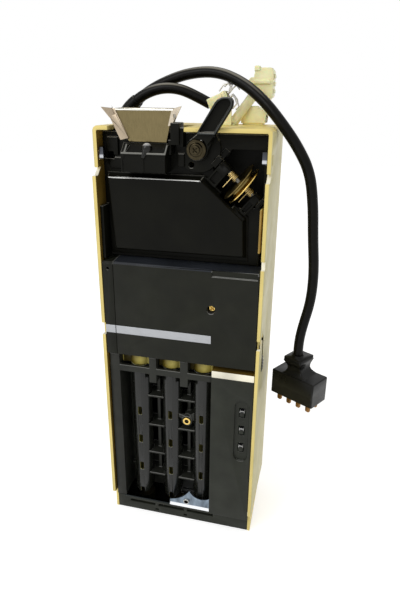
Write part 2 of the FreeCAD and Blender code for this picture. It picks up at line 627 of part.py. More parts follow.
def return_lever():
    """Coin return lever: a dished paddle in front of the housing lip, on a hub behind it."""
    x, z = LEVER.x, LEVER.z
    edge = [(13.9, 361.4, 1.0), (30.0, 387.0, 9.0), (41.0, 387.0, 3.6), (40.2, 380.2, 6.0),
            (28.2, 361.4, 1.0)]
    paddle = prism(edge, "xz", (-0.6, 4.8))
    dish = [(16.4, 363.2, 0.8), (31.0, 385.3, 8.0), (38.9, 385.3, 2.4), (38.2, 380.6, 5.0),
            (27.2, 363.2, 0.8)]
    paddle = paddle.cut(prism(dish, "xz", (-1, 2.6)))
    shelf = prism([(10.4, 358.6), (14.2, 361.8), (27.6, 361.8), (21.6, 353.6), (19.4, 357.4)],
                  "xz", (2.6, 9.2))
    hub = rod((x, 8.6, z), (0, 1, 0), 8.6, 3.6)
    web = prism([(6.6, 356.6), (13.6, 361.8), (26.4, 361.8), (19.4, 345.6)], "xz", (8.6, 12.2))
    root = prism([(15.0, 360.0), (27.0, 360.0), (28.4, 364.0), (15.8, 364.0)], "xz", (2.6, 4.8))
    lever = union([paddle, root, shelf, hub, web])
    room = rod((x, 5, z), (0, 1, 0), 7.8, 3.55)
    groove = tube((x, 8.5, z), (0, 1, 0), SPRING_RING + 0.7, SPRING_RING - 0.7, 1.5)
    exit_slot = box((x + 2.4, x + 5.2), (8.5, 10.0), (z + 4.8, z + 7.9))
    return minus(lever, [room, groove, exit_slot,
                         rod((x, 0, z), (0, 1, 0), LEVER_PIVOT + 0.3, 20)])


def lever_washer():
    x, z = LEVER.x, LEVER.z
    disc = rod((x, 7.0, z), (0, 1, 0), 7.4, 1.2)
    dome = Part.makeCone(4.4, 5.4, 1.1, V(x, 5.9, z), V(0, 1, 0))
    washer = disc.fuse(dome)
    return washer.cut(rod((x, 0, z), (0, 1, 0), LEVER_PIVOT + 0.05, 20))


def lever_screw():
    return screw((LEVER.x, 5.9, LEVER.z), (0, -1, 0), 3.3, LEVER_PIVOT, (2.0, 14.0))


def lever_spring():
    """Torsion spring in the hub's groove; its end bends forward under the lever's shelf."""
    x, z = LEVER.x, LEVER.z
    turns = Part.makeTorus(SPRING_RING, 0.42, V(x, 9.2, z), V(0, 1, 0))
    start, knee = V(x + 3.3, 9.2, z + 5.7), V(x + 3.9, 9.2, z + 7.2)
    leg = rod(start, knee - start, 0.4, (knee - start).Length)
    end = rod(knee, (0.06, -1, 0), 0.4, 3.6)
    spring = union([turns, leg, Part.makeSphere(0.4, knee), end]).cut(return_lever())
    return max(spring.Solids, key=lambda solid: solid.Volume)


def side_latch(side):
    """Spring steel tab that hooks the acceptor into the housing wall."""
    wall = side * (INSIDE - GAP)
    profile = [(7.4, 341.4), (8.8, 341.4), (8.8, 349.0), (7.4, 350.2)]
    plate = box(sorted((wall, wall - side * 1.2)), (7.4, 15.4), (341.0, 349.4))
    hook = prism([(9.2, 341.2), (13.2, 341.2), (13.2, 347.0), (9.2, 345.0)], "yz",
                 sorted((wall + side * 2.2, wall - side * 0.5)))
    finger = prism(profile, "yz", sorted((wall, wall - side * 3.6)))
    return union([plate, hook, finger])


def gate_solenoid():
    """Solenoid behind the acceptor plate that works the accept flap."""
    z = FLAP_PUSH
    frame = box((4.0, 27.0), (30.0, 50.0), (z - 8.0, z + 8.0))
    frame = frame.cut(box((6.0, 25.0), (29.0, 51.0), (z - 6.4, z + 6.4)))
    winding = rod((6.0, 40.0, z), (1, 0, 0), 6.0, 19.0)
    bracket = box((4.0, 27.0), (19.0, 30.2), (z + 6.4, z + 8.0))
    bore = rod((3.0, 40.0, FLAP_PUSH), (1, 0, 0), PLUNGER + 0.35, 30.0)
    return union([frame, winding, bracket]).cut(bore)


def solenoid_plunger():
    core = rod((10.0, 40.0, FLAP_PUSH), (1, 0, 0), PLUNGER, 25.2)
    return core.fuse(rod((34.8, 40.0, FLAP_PUSH), (1, 0, 0), PLUNGER + 1.2, 1.4))


def accept_flap():
    """Flap in the coin's way out, hinged on a pin along Y."""
    x, z = FLAP
    plate = box((x - 1.0, x + 1.0), (24.0, 48.0), (z - 19.0, z))
    return union([plate, rod((x, 19.2, z), (0, 1, 0), FLAP_PIN, 28.8)])


# ---- logic unit ---------------------------------------------------------------------------
def cover_profile():
    low, high = COVER_Z
    face = COVER_FACE
    return [(face, low, 0.8), (face, high, 1.0), (face + 1.6, high + 2.0, 0.6),
            (19.4, high + 3.2), (19.4, high + 1.0), (face + 2.8, high - 0.6),
            (face + 2.8, low + 2.4), (12.0, low + 2.4), (12.0, low)]


def logic_cover():
    """Black cover of the logic unit, with a screw boss, a relief and a flange at the right."""
    x, z = COVER_SCREW
    right = INSIDE - 0.5
    cover = prism(cover_profile(), "yz", (COVER_SEAM + FIT, right))
    boss = rod((x, 2.0, z), (0, 1, 0), 5.4, 6.4)
    flange = box((right - 2.4, right), (2.0, 22.0), (COVER_Z[0], COVER_Z[1] + 1.0))
    latch_room = box((right - 3.5, INSIDE), (11.6, 30.0), (0, LATCH_TOP))
    relief = box((27.8, 64.0), (-1, 1.5), (COVER_Z[1] - 3.4, COVER_Z[1] + 2.4))
    return minus(union([cover, boss, flange]),
                 [relief, latch_room, rod((x, -1, z), (0, 1, 0), 3.5, 7.6),
                  rod((x, 0, z), (0, 1, 0), 1.8, 20)])


def cover_side_strip():
    strip = prism(cover_profile(), "yz", (-INSIDE + 0.5, COVER_SEAM - FIT))
    side = box((-INSIDE + 0.5, -INSIDE + 2.9), (2.0, 22.0), (COVER_Z[0], COVER_Z[1] + 1.0))
    return strip.fuse(side).cut(rod((-60.6, -1, 254.4), (0, 1, 0), 1.2, 10))


def silver_stripe():
    depth = (COVER_FACE - 0.25, COVER_FACE)
    left = box((-INSIDE + 0.5, COVER_SEAM - 0.3), depth, STRIPE_Z)
    return Part.makeCompound([left, box((COVER_SEAM + 0.3, 27.8), depth, STRIPE_Z)])


def cover_screw():
    x, z = COVER_SCREW
    return screw((x, 6.6, z), (0, -1, 0), 2.8, 1.5, (2.0, 12.0))


def control_board():
    """Circuit board on four posts, with the parts soldered to its back as separate solids."""
    back = BOARD_BACK
    posts = [rod((x, back, z), (0, 1, 0), 2.6, DEPTH - BACK_WALL - back)
             for x, z in ((-57.0, 184.0), (-57.0, 250.0), (54.0, 250.0), (54.0, 184.0))]
    board = box((-61.0, 58.0), (back - 1.6, back), (180.0, 254.0))
    board = board.cut(rod((COVER_SCREW[0], 0, COVER_SCREW[1]), (0, 1, 0), 3.0, 40))
    chips = [box((x, x + 16), (back, back + 4), (z, z + 7))
             for x in (-50, -28, -6) for z in (188, 202, 230)]
    cans = [rod((x, back, 240), (0, 1, 0), 5.0, 20) for x in (14, 40)]
    cans += [rod((x, back, 219), (0, 1, 0), 2.6, 9) for x in (-46, -34, -22, -10)]
    header = box((16, 50), (back, back + 9), (183.5, 190.5))
    return Part.makeCompound([board] + posts + chips + cans + [header])


def power_transformer():
    """Laminated core on the back wall with its bobbin and terminals."""
    back = DEPTH - BACK_WALL
    core = box((4.0, 48.0), (back - 26.0, back), (196.0, 234.0))
    windows = [box((x, x + 9), (back - 27, back + 1), (203, 227)) for x in (9.5, 33.5)]
    core = minus(core, windows)
    bobbin = prism(frame_points((10.5, 41.5), (204.0, 226.0), 3), "xz",
                   (back - 33.0, back - 26.0))
    return union([core, bobbin, box((10.5, 41.5), (back - 33, back - 29), (225.5, 231))])


# ---- coin shelf and cassette --------------------------------------------------------------
def coin_shelf():
    """Cream shelf over the cassette: a front rail at the right and three coin chutes."""
    half = INSIDE - GAP
    rail = box((28.9, half), (0.8, 44.0), SHELF_Z)
    wall = box((-half, 28.9), (CASSETTE_BACK + 0.6, 44.0), (SHELF_Z[0], 180.0))
    pieces = [rail, wall]
    edges = [-half] + [e for post in POSTS for e in post] + [28.2]
    for low, high in list(zip(edges[0::2], edges[1::2])):
        if high - low > 4:
            pieces.append(box((low + 0.5, high - 0.4), (10.0, CASSETTE_BACK + 1), SHELF_Z))
            pieces.append(box((low + 0.5, high - 0.4), (22.5, CASSETTE_BACK + 1),
                              (SHELF_Z[0], 179.0)))
    shelf = union(pieces)
    bores = [rod((x, TUBE_Y, 150), (0, 0, 1), TUBE - 0.6, 60) for x in TUBE_X]
    mouths = [Part.makeCone(TUBE - 0.6, TUBE + 3.0, 15, V(x, TUBE_Y, SHELF_Z[1] - 4.0))
              for x in TUBE_X]
    collars = [tube((x, TUBE_Y, SHELF_Z[0]), (0, 0, 1), TUBE + 0.5, TUBE - 0.6, 10.2)
               for x in TUBE_X]
    return union([minus(shelf, bores + mouths)] + collars)


def tube_bores():
    return [rod((x, TUBE_Y, 0), (0, 0, 1), TUBE + FIT, 200) for x in TUBE_X]


def cassette_frame():
    """Front of the cassette: closed compartment at the left, top bar and three post caps."""
    x0, x1 = CASSETTE_X
    front, rear = CASSETTE_FRONT, CASSETTE_BACK - PLATE
    low, high = CASSETTE_Z
    left = POSTS[0][1]
    pieces = [box((x0, left), (front, front + 2.4), CASSETTE_Z),
              box((x0, x0 + PLATE), (front, rear), CASSETTE_Z),
              box((left - PLATE, left), (front, rear), CASSETTE_Z),
              box((x0, left), (front, rear), (low, low + 2.4)),
              box((x0, x1), (front, front + 3.2), (BACK_TOP - 0.2, high))]
    cap = [(front, WEB_Z[1]), (front + 21, WEB_Z[1]), (front + 21, POST_TOP - 1.0),
           (front + 1.0, POST_TOP), (front, POST_TOP - 1.0)]
    pieces += [prism(cap, "yz", post) for post in POSTS]
    return minus(union(pieces), tube_bores())


def cassette_back():
    """Back plate of the cassette, with the webs and ribs that hold the tubes apart."""
    x0, x1 = CASSETTE_X
    back = CASSETTE_BACK
    pieces = [box((x0, x1), (back - PLATE, back), (CASSETTE_Z[0], BACK_TOP)),
              box((POSTS[0][1], x1), (back - 6.0, back), (40.0, 43.0)),
              box((x1 - 1.2, x1), (back - 8.0, back), (WEB_Z[0], CASSETTE_Z[1]))]
    for x in TUBE_X[:2]:
        mid = x + TUBE_PITCH / 2
        pieces.append(box((mid - 1.5, mid + 1.5), (19.0, back), WEB_Z))
        for z in RIB_Z + (WEB_Z[0] + 0.9,):
            pieces.append(box((mid - TUBE, mid + TUBE), (9.4, back), (z - 0.9, z + 0.9)))
    bx, bz = CASSETTE_SCREW
    pieces.append(rod((bx, CLAMP_Y[1], bz), (0, 1, 0), 5.0, back - CLAMP_Y[1]))
    windows = [box((x - 5, x + 5), (back - 3, back + 1), (60, 150)) for x in TUBE_X]
    return minus(union(pieces), tube_bores() + windows
                 + [rod((bx, 0, bz), (0, 1, 0), 2.4, 60)])


def tube_clamp():
    """Two tapered arms on a boss, held by the brass screw, that keep the tubes in."""
    bx, bz = CASSETTE_SCREW
    front = CLAMP_Y[0] - 1.6
    boss = rod((bx, front, bz), (0, 1, 0), 5.0, CLAMP_Y[1] - front)
    arms = prism([(bx - 9, bz + 5.6), (bx - 9, bz + 2.6), (bx, bz - 2.4), (bx + 8, bz + 1.0),
                  (bx + 8, bz + 10.0), (bx + 1, bz + 3.4)], "xz", CLAMP_Y)
    return minus(boss.fuse(arms), tube_bores() + [rod((bx, 0, bz), (0, 1, 0), 2.4, 60),
                                                  rod((bx, 0, bz), (0, 1, 0), 3.9, 10.6)])


def coin_tube(x):
    """Coin tube with a rounded foot, three level windows and a pusher notch."""
    shell = tube((x, TUBE_Y, TUBE_Z[0]), (0, 0, 1), TUBE, TUBE - TUBE_WALL,
                 TUBE_Z[1] - TUBE_Z[0])
    foot = TUBE_Z[0] + TUBE
    keep = box((x - 20, x + 20), (0, 40), (foot, 200)).fuse(
        rod((x, 0, foot), (0, 1, 0), TUBE, 40))
    shell = shell.common(keep)
    windows = [prism(frame_points((x - 1.9, x + 1.9), (z - 4.3, z + 4.3), 1.2), "xz",
                     (0, TUBE_Y)) for z in (116.0, 85.2, 53.6)]
    windows.append(prism(frame_points((x - 2.0, x + 2.0), (TUBE_Z[0] - 6, TUBE_Z[0] + 6.4), 1.4),
                         "xz", (0, TUBE_Y)))
    return minus(shell, windows)


def cassette_screw():
    bx, bz = CASSETTE_SCREW
    head = tube((bx, 7.4, bz), (0, 1, 0), 3.6, 1.9, 1.9)
    head = head.fuse(rod((bx, 9.2, bz), (0, 1, 0), 3.6, 1.2))
    head = head.makeFillet(0.5, [e for e in head.Edges if e.BoundBox.YMax < 7.41
                                 and e.BoundBox.XLength > 6])
    return head.fuse(rod((bx, 10.0, bz), (0, 1, 0), 2.1, 22.0))


def cassette_latch():
    """Sliding catch in the slot of the right wall."""
    grip = box((INSIDE - 0.3, HALF + 0.5), (14.5, 19.9), (168.6, 181.6))
    inner = box((INSIDE - 2.6, INSIDE - 0.2), (12.4, 22.4), (172.2, 183.6))
    ridges = [box((HALF + 0.4, HALF + 1.1), (14.5, 19.9), (z, z + 1.2)) for z in (171, 174, 177)]
    return union([grip, inner] + ridges)


# ---- control panel ------------------------------------------------------------------------
def panel_recess(grow, span):
    half = 6.3 + grow
    return prism([(BUTTON_X - half, 82.6 - grow, half - 0.01),
                  (BUTTON_X + half, 82.6 - grow, half - 0.01),
                  (BUTTON_X + half, 145.2 + grow, half - 0.01),
                  (BUTTON_X - half, 145.2 + grow, half - 0.01)], "xz", span)


def control_panel():
    face = PANEL_FACE
    panel = prism(frame_points(PANEL_X, PANEL_Z, 0.8), "xz", (face, face + 2.6))
    panel = panel.cut(panel_recess(0, (face - 1, face + 4)))
    pieces = [panel, panel_recess(1.6, (face + 2.0, face + 3.8))]
    pieces[1] = pieces[1].cut(panel_recess(-0.01, (face - 1, face + 2.2)))
    pieces.append(box((PANEL_X[0], PANEL_X[0] + 2.2), (face, 26.0), PANEL_Z))
    pieces.append(box(PANEL_X, (face, 12.0), (PANEL_Z[1] - 2.4, PANEL_Z[1])))
    for x, z in PANEL_POSTS:
        pieces.append(rod((x, face + 2.2, z), (0, 1, 0), 2.2, 15.8 - face))
    windows = [centred((BUTTON_X, face + 3, z), (BUTTON_WINDOW[0], 6, BUTTON_WINDOW[1]))
               for z in BUTTON_Z]
    return minus(union(pieces), windows)


def panel_button(z):
    """Push button cap with its stem behind the panel."""
    w, h = BUTTON_CAP[0] / 2, BUTTON_CAP[1]
    cap = [(2.0, z - 2.9, 0.4), (4.6, z - 2.9), (8.4, z - 2.9), (8.4, z - 2.9 + h),
           (3.2, z - 2.9 + h), (2.0, z - 3.9 + h, 0.5)]
    body = prism(cap, "yz", (BUTTON_X - w, BUTTON_X + w))
    return body.fuse(centred((BUTTON_X, 10.2, z), (2.6, 4.4, 2.6)))


def button_board():
    board = box((40.6, 64.4), (18.0, 19.6), (72.0, 156.0))
    parts = [board]
    for z in BUTTON_Z:
        parts.append(centred((BUTTON_X, 16.4, z), (6.4, 3.4, 6.4)))
        parts.append(rod((BUTTON_X, 14.2, z), (0, 1, 0), 1.5, 1.0))
    parts.append(centred((48.0, 22.0, 100.0), (7.0, 5.2, 16.0)))
    return union(parts)


# ---- payout unit --------------------------------------------------------------------------
def payout_plate():
    """Bent zinc plate: a coin floor with three holes and a scalloped upstand in front."""
    sheet = box((-58.0, 28.2), (3.4, 36.0), (16.0, 17.4))
    upstand = box((-10.6, 28.2), (3.4, 4.8), (16.0, 37.4))
    scallops = [rod((-14.2, 0, 48.6), (0, 1, 0), 26.0, 20),
                rod((20.4, 0, 40.6), (0, 1, 0), 12.4, 20)]
    plate = sheet.fuse(upstand)
    holes = [rod((x, TUBE_Y, 0), (0, 0, 1), TUBE - 0.4, 30) for x in TUBE_X]
    hole = rod(PLATE_SCREW, (0, 1, 0), 1.6, 20)
    return minus(plate, scallops + holes + [hole])


def payout_plate_screw():
    x, _, z = PLATE_SCREW
    return screw((x, 3.4, z), (0, -1, 0), 2.7, 1.5, (1.6, 6.0))


def payout_slide(x):
    """Coin pusher with its upright tab and the solenoid plunger."""
    blade = box((x - SLIDE_HALF, x + SLIDE_HALF), (SLIDE_FRONT, 41.0), SLIDE_Z)
    hollow = rod((x, TUBE_Y, SLIDE_Z[0] - 1), (0, 0, 1), SLIDE_FRONT - TUBE_Y + 2.0, 6)
    tab = box((x - 3.4, x + 3.4), (39.0, 41.0), (SLIDE_Z[0], 15.4))
    core = rod((x, 40.0, PLUNGER_Z), (0, 1, 0), PLUNGER, 25.0)
    return union([blade.cut(hollow), tab, core])


def payout_solenoids():
    """Three solenoids side by side, one behind each slide."""
    group = []
    for x in TUBE_X:
        frame = box((x - 10, x + 10), (44.0, 67.0), (2.4, 21.4))
        frame = frame.cut(box((x - 11, x + 11), (46.0, 65.0), (4.4, 19.6)))
        frame = frame.fuse(rod((x, 46.0, PLUNGER_Z), (0, 1, 0), 6.9, 19.0))
        group.append(frame.cut(rod((x, 43.0, PLUNGER_Z), (0, 1, 0), PLUNGER + 0.35, 23.6)))
    return Part.makeCompound(group)


# ---- leads on top -------------------------------------------------------------------------
def lead_glands():
    """Tapered strain reliefs round both leads, from the top to the end of their first bend."""
    glands = []
    for route in (POWER_ROUTE, ACCESSORY_ROUTE):
        start, bend, following = [V(*p) for p in route[:3]]
        edges, _ = lead_path(route)
        run = edges[:2]
        sections = [Part.Wire(Part.makeCircle(RELIEF[0], start, bend - start)),
                    Part.Wire(Part.makeCircle(RELIEF[1], run[1].Vertexes[-1].Point,
                                              following - bend))]
        sleeve = Part.Wire(run).makePipeShell(sections, True, False)
        foot = rod((start.x, start.y, HEIGHT), (0, 0, 1), RELIEF[0] + 0.2, 1.6)
        plug = rod((start.x, start.y, HEIGHT - 4.2), (0, 0, 1), 4.5, 4.2)
        neck = rod((start.x, start.y, HEIGHT), (0, 0, 1), RELIEF[0], start.z - HEIGHT)
        ball = Part.makeSphere(RELIEF[0], start)
        glands.append(union([foot, plug, neck, ball, sleeve]).cut(lead(route)))
    return Part.makeCompound(glands)


def in_boot(shape):
    """Tilts a piece modelled along +X from the origin into the boot's place."""
    copy = turned(shape, (0, 0, 0), (0, 1, 0), -BOOT_TILT)
    copy.translate(BOOT)
    return copy


def lead_boot():
    """Yellowed nylon shell on the end of the accessory lead, with six contact cells."""
    def ring(y, z, radius, span):
        return prism([(-y, -z, radius), (y, -z, radius), (y, z, radius), (-y, z, radius)],
                     "yz", span)

    body = ring(5.2, 4.3, 1.4, (-0.6, BOOT_LENGTH)).fuse(
        ring(5.7, 4.8, 1.8, (BOOT_LENGTH - 4.2, BOOT_LENGTH - 1.2)))
    cells = [box((BOOT_LENGTH - CELL_DEPTH, BOOT_LENGTH + 1), (y - 1.3, y + 1.3),
                 (z - 1.3, z + 1.3)) for y, z in CELLS]
    return in_boot(minus(body, cells)).cut(lead(ACCESSORY_ROUTE))


def bare_contacts():
    """Bent crimp contacts standing out of the boot's open end."""
    contacts = []
    for (y, z), bends in zip(CELLS, CONTACT_BENDS):
        mouth_points = in_boot(Part.makeLine(V(BOOT_LENGTH - CELL_DEPTH, y, z),
                                             V(BOOT_LENGTH + 1.0, y, z)))
        points = [v.Point for v in mouth_points.Vertexes] + [V(*p) for p in bends]
        wires = []
        for a, b in zip(points, points[1:]):
            wires += [Part.makeCylinder(0.55, (b - a).Length, a, b - a),
                      Part.makeSphere(0.55, b)]
        contacts.append(wires[0].multiFuse(wires[1:]))
    return Part.makeCompound(contacts)


def lead_clamp():
    """Upright cream lug on the top that carries the boot."""
    plate = prism([(20.4, HEIGHT), (30.6, HEIGHT), (30.6, 379.6, 2.0), (20.4, 380.4, 1.0)],
                  "xz", (46.4, 49.0))
    foot = box((20.4, 30.6), (46.4, 54.0), (HEIGHT, HEIGHT + 2.0))
    saddle = box((15.0, 24.0), (46.4, 57.6), (376.4, 383.0))
    plate = union([plate, foot, saddle]).cut(rod((24.4, 40, 370.4), (0, 1, 0), 1.1, 12))
    return plate.cut(lead_boot())


def harness_sleeve():
    """Soft cream sleeve from the outlet in the top up to the upper connector."""
    start, end = SLEEVE_FOOT, SLEEVE_END
    axis = end - start
    body = Part.makeCylinder(SLEEVE, axis.Length, start, axis)
    foot = Part.makeSphere(SLEEVE + 0.4, start + V(0, 0, 2.6))
    stem = rod((start.x, start.y, HEIGHT - WALL), (0, 0, 1), SLEEVE + 0.4, WALL + 1.4)
    sleeve = union([body.common(box((0, 90), (40, 80), (HEIGHT + 0.2, 420))), foot, stem])
    hollow = rod((start.x, start.y, HEIGHT - WALL - 1), (0, 0, 1), SLEEVE - 1.2, WALL + 4)
    return minus(sleeve, [hollow, upper_connector(), lower_connector(), lead_clamp()])


def upper_connector():
    """Standing nylon connector: stepped block, latch ears and side ribs."""
    front, back = 58.0, 73.0
    body = prism([(42.2, 384.6, 1.0), (57.6, 384.6, 1.0), (60.6, 387.6, 0.8), (60.6, 406.0, 3.0),
                  (58.4, 408.3, 1.0), (46.4, 408.3, 1.0), (45.4, 401.4, 0.6), (43.0, 401.4, 1.0),
                  (41.1, 399.0, 1.0)], "xz", (front, back))
    brow = prism([(45.6, 396.6, 0.6), (58.4, 396.6, 0.6), (58.4, 399.2, 0.8),
                  (45.6, 399.2, 0.8)], "xz", (front - 1.4, front + 2))
    knob = prism([(45.7, 406.0), (50.1, 406.0), (50.1, 409.7, 1.2), (45.7, 409.7, 1.2)], "xz",
                 (front - 0.6, front + 6))
    ribs = [box((60.0, 61.6), (front + 2, front + 12), (z, z + 2.8)) for z in (390, 395.4, 400.8)]
    cells = [box((x, x + 3.0), (68.0, 71.0), (404.0, 412.0)) for x in (47.2, 51.2, 55.2)]
    return minus(union([body, brow, knob] + ribs), cells)


def lower_connector():
    """Nylon connector lying on the top, with its comb of contact cells to the right."""
    body = prism([(36.2, HEIGHT + 1.4, 0.6), (55.6, HEIGHT + 1.4, 0.6), (56.6, 375.8, 1.4),
                  (47.4, 380.5, 2.0), (43.6, 380.3, 2.0), (36.2, 377.4, 1.5)], "xz", (59.0, 75.0))
    foot = box((37.6, 53.6), (60.2, 74.0), (HEIGHT, HEIGHT + 1.6))
    cells = [centred((55.4, y, z), (5.0, 2.5, 2.3))
             for y in (61.6, 65.2, 68.8, 72.4) for z in (369.6, 373.0)]
    return minus(body.fuse(foot), cells)


def plug_at(shape):
    copy = turned(shape, (0, 0, 0), (0, 0, 1), PLUG_YAW)
    copy.translate(PLUG)
    return copy


def plug_body():
    """Moulded plug: waisted square neck with a flat collar, on a block with rounded edges."""
    a, b, h = PLUG_SIZE
    block = box((-a / 2, a / 2), (-b / 2, b / 2), (-h, 0))
    block = block.makeFillet(1.4, [e for e in block.Edges if e.BoundBox.ZLength > 1])
    block = block.makeFillet(1.0, [e for e in block.Edges if e.BoundBox.ZMin > -0.01])

    def section(w, d, z, lean):
        return Part.makePolygon([V(x + lean, y, z) for x, y in
                                 ((-w / 2, -d / 2), (w / 2, -d / 2), (w / 2, d / 2),
                                  (-w / 2, d / 2), (-w / 2, -d / 2))])

    sizes = ((25.0, 20.0, -0.4, 0.0), (17.2, 17.4, 2.2, -0.6), (13.8, 14.8, 5.4, -1.2),
             (14.4, 16.6, 9.0, -1.7), (17.6, 20.6, 13.4, -2.2))
    neck = Part.makeLoft([section(*s) for s in sizes], True, False)
    collar = box((-11.0, 6.6), (-10.3, 10.3), (13.3, 16.2))
    collar = collar.makeFillet(1.2, [e for e in collar.Edges if e.BoundBox.ZLength > 1])
    boss = rod((PLUG_EXIT[0], PLUG_EXIT[1], 16.0), (0, 0, 1), 5.4, 2.0)
    return plug_at(union([block, neck, collar, boss])).cut(lead(POWER_ROUTE))


def plug_local(point):
    moved = V(*point) - PLUG
    a = math.radians(-PLUG_YAW)
    return (moved.x * math.cos(a) - moved.y * math.sin(a),
            moved.x * math.sin(a) + moved.y * math.cos(a))


PLUG_EXIT = plug_local(POWER_ROUTE[-1])


def plug_blades():
    h = PLUG_SIZE[2]
    blades = []
    for x in (-15.3, -5.2, 4.9, 15.0):
        for y in (-5.6, 5.6):
            blade = centred((x, y, -h - 4.2), (4.4, 1.9, 8.4))
            tip = [e for e in blade.Edges if e.BoundBox.ZMax < -h - 8.3 and e.BoundBox.XLength < 1]
            blades.append(plug_at(blade.makeChamfer(0.9, tip)))
    return Part.makeCompound(blades)


# ---- build --------------------------------------------------------------------------------
def main():
    os.makedirs("parts", exist_ok=True)
    pieces = [
        ("rear_housing", rear_housing), ("housing_screws", housing_screws),
        ("base_frame", base_frame), ("base_plate", base_plate),
        ("acceptor_body", acceptor_body), ("acceptor_shell", acceptor_shell),
        ("sensor_coils", sensor_coils),
        ("chute_socket", chute_socket), ("chute_pin", chute_pin), ("funnel", funnel),
        ("gate_cover", gate_cover), ("gate_shaft", gate_shaft), ("gate_springs", gate_springs),
        ("grooved_wheel", grooved_wheel), ("return_lever", return_lever),
        ("lever_washer", lever_washer), ("lever_screw", lever_screw),
        ("lever_spring", lever_spring), ("gate_solenoid", gate_solenoid),
        ("solenoid_plunger", solenoid_plunger), ("accept_flap", accept_flap),
        ("logic_cover", logic_cover), ("cover_side_strip", cover_side_strip),
        ("silver_stripe", silver_stripe), ("cover_screw", cover_screw),
        ("control_board", control_board), ("power_transformer", power_transformer),
        ("coin_shelf", coin_shelf), ("cassette_frame", cassette_frame),
        ("cassette_back", cassette_back), ("tube_clamp", tube_clamp),
        ("cassette_screw", cassette_screw),
        ("cassette_latch", cassette_latch), ("control_panel", control_panel),
        ("button_board", button_board), ("payout_plate", payout_plate),
        ("payout_plate_screw", payout_plate_screw), ("payout_solenoids", payout_solenoids),
        ("lead_glands", lead_glands), ("lead_boot", lead_boot), ("bare_contacts", bare_contacts),
        ("lead_clamp", lead_clamp), ("harness_sleeve", harness_sleeve),
        ("upper_connector", upper_connector), ("lower_connector", lower_connector),
        ("plug_body", plug_body), ("plug_blades", plug_blades)]
    for name, make in pieces:
        save(name, make())
    save("side_latch_left", side_latch(-1))
    save("side_latch_right", side_latch(1))
    for n, x in enumerate(TUBE_X, 1):
        save("coin_tube_%d" % n, coin_tube(x))
        save("payout_slide_%d" % n, payout_slide(x))
    for n, z in enumerate(reversed(BUTTON_Z), 1):
        save("button_%d" % n, panel_button(z))
    save("power_cord", lead(POWER_ROUTE, "power_cord"))
    save("accessory_lead", lead(ACCESSORY_ROUTE, "accessory_lead"))


main()
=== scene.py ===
import json
import math

import bmesh
import bpy
from bpy.props import FloatProperty, FloatVectorProperty, PointerProperty
from mathutils import Matrix, Vector

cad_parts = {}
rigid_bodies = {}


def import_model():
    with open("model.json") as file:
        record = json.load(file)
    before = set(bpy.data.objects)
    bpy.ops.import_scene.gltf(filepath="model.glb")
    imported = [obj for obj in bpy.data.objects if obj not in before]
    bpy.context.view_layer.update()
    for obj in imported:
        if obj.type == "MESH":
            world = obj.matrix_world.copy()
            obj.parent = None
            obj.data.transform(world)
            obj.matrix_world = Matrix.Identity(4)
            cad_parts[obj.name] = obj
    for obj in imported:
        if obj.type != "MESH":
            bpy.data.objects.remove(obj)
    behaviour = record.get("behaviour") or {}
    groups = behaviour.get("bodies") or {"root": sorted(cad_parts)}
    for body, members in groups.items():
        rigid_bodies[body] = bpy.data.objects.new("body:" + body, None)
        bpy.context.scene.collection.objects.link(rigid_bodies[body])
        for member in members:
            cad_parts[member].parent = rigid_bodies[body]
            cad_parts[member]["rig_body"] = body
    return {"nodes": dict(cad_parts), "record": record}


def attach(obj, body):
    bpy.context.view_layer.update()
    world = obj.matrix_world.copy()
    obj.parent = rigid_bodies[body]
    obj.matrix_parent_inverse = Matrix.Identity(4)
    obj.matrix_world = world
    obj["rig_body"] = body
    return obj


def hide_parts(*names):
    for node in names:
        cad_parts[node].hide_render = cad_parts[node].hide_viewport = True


# Finishes, leads, springs and small parts for a coin changer: a cream housing with a coin
# acceptor, a logic unit, a coin tube cassette, a button panel and a payout base.
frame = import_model()

bl_info = {
    "name": "Coin changer",
    "version": (1, 0, 0),
    "blender": (4, 5, 0),
    "location": "View3D > Sidebar > Coin changer",
    "description": "Dresses a packed coin changer with its finishes, leads and small parts",
    "category": "Object",
}

SLOTS = {part["node"]: part["material_slot"] for part in frame["record"]["subparts"]}


# ---- places and colours -------------------------------------------------------------------
def mm(x, y, z):
    """A point in metres, from millimetres with y as the depth behind the front lip."""
    return Vector((x, y - 39.5, z)) / 1000


def depth(millimetres):
    """Y of a depth behind the front lip."""
    return mm(0, millimetres, 0).y


def between(value, limits):
    """Whether a value is between a lower and an upper limit."""
    return limits[0] < value < limits[1]


def srgb(red, green, blue):
    """A linear colour from 0 to 255 display values."""
    def linear(value):
        value /= 255
        return value / 12.92 if value <= 0.04045 else ((value + 0.055) / 1.055) ** 2.4
    return (linear(red), linear(green), linear(blue), 1.0)


def shade(colour, factor=1.0):
    """An opaque colour, lighter or darker by a factor."""
    return tuple(c * factor for c in colour[:3]) + (1.0,)


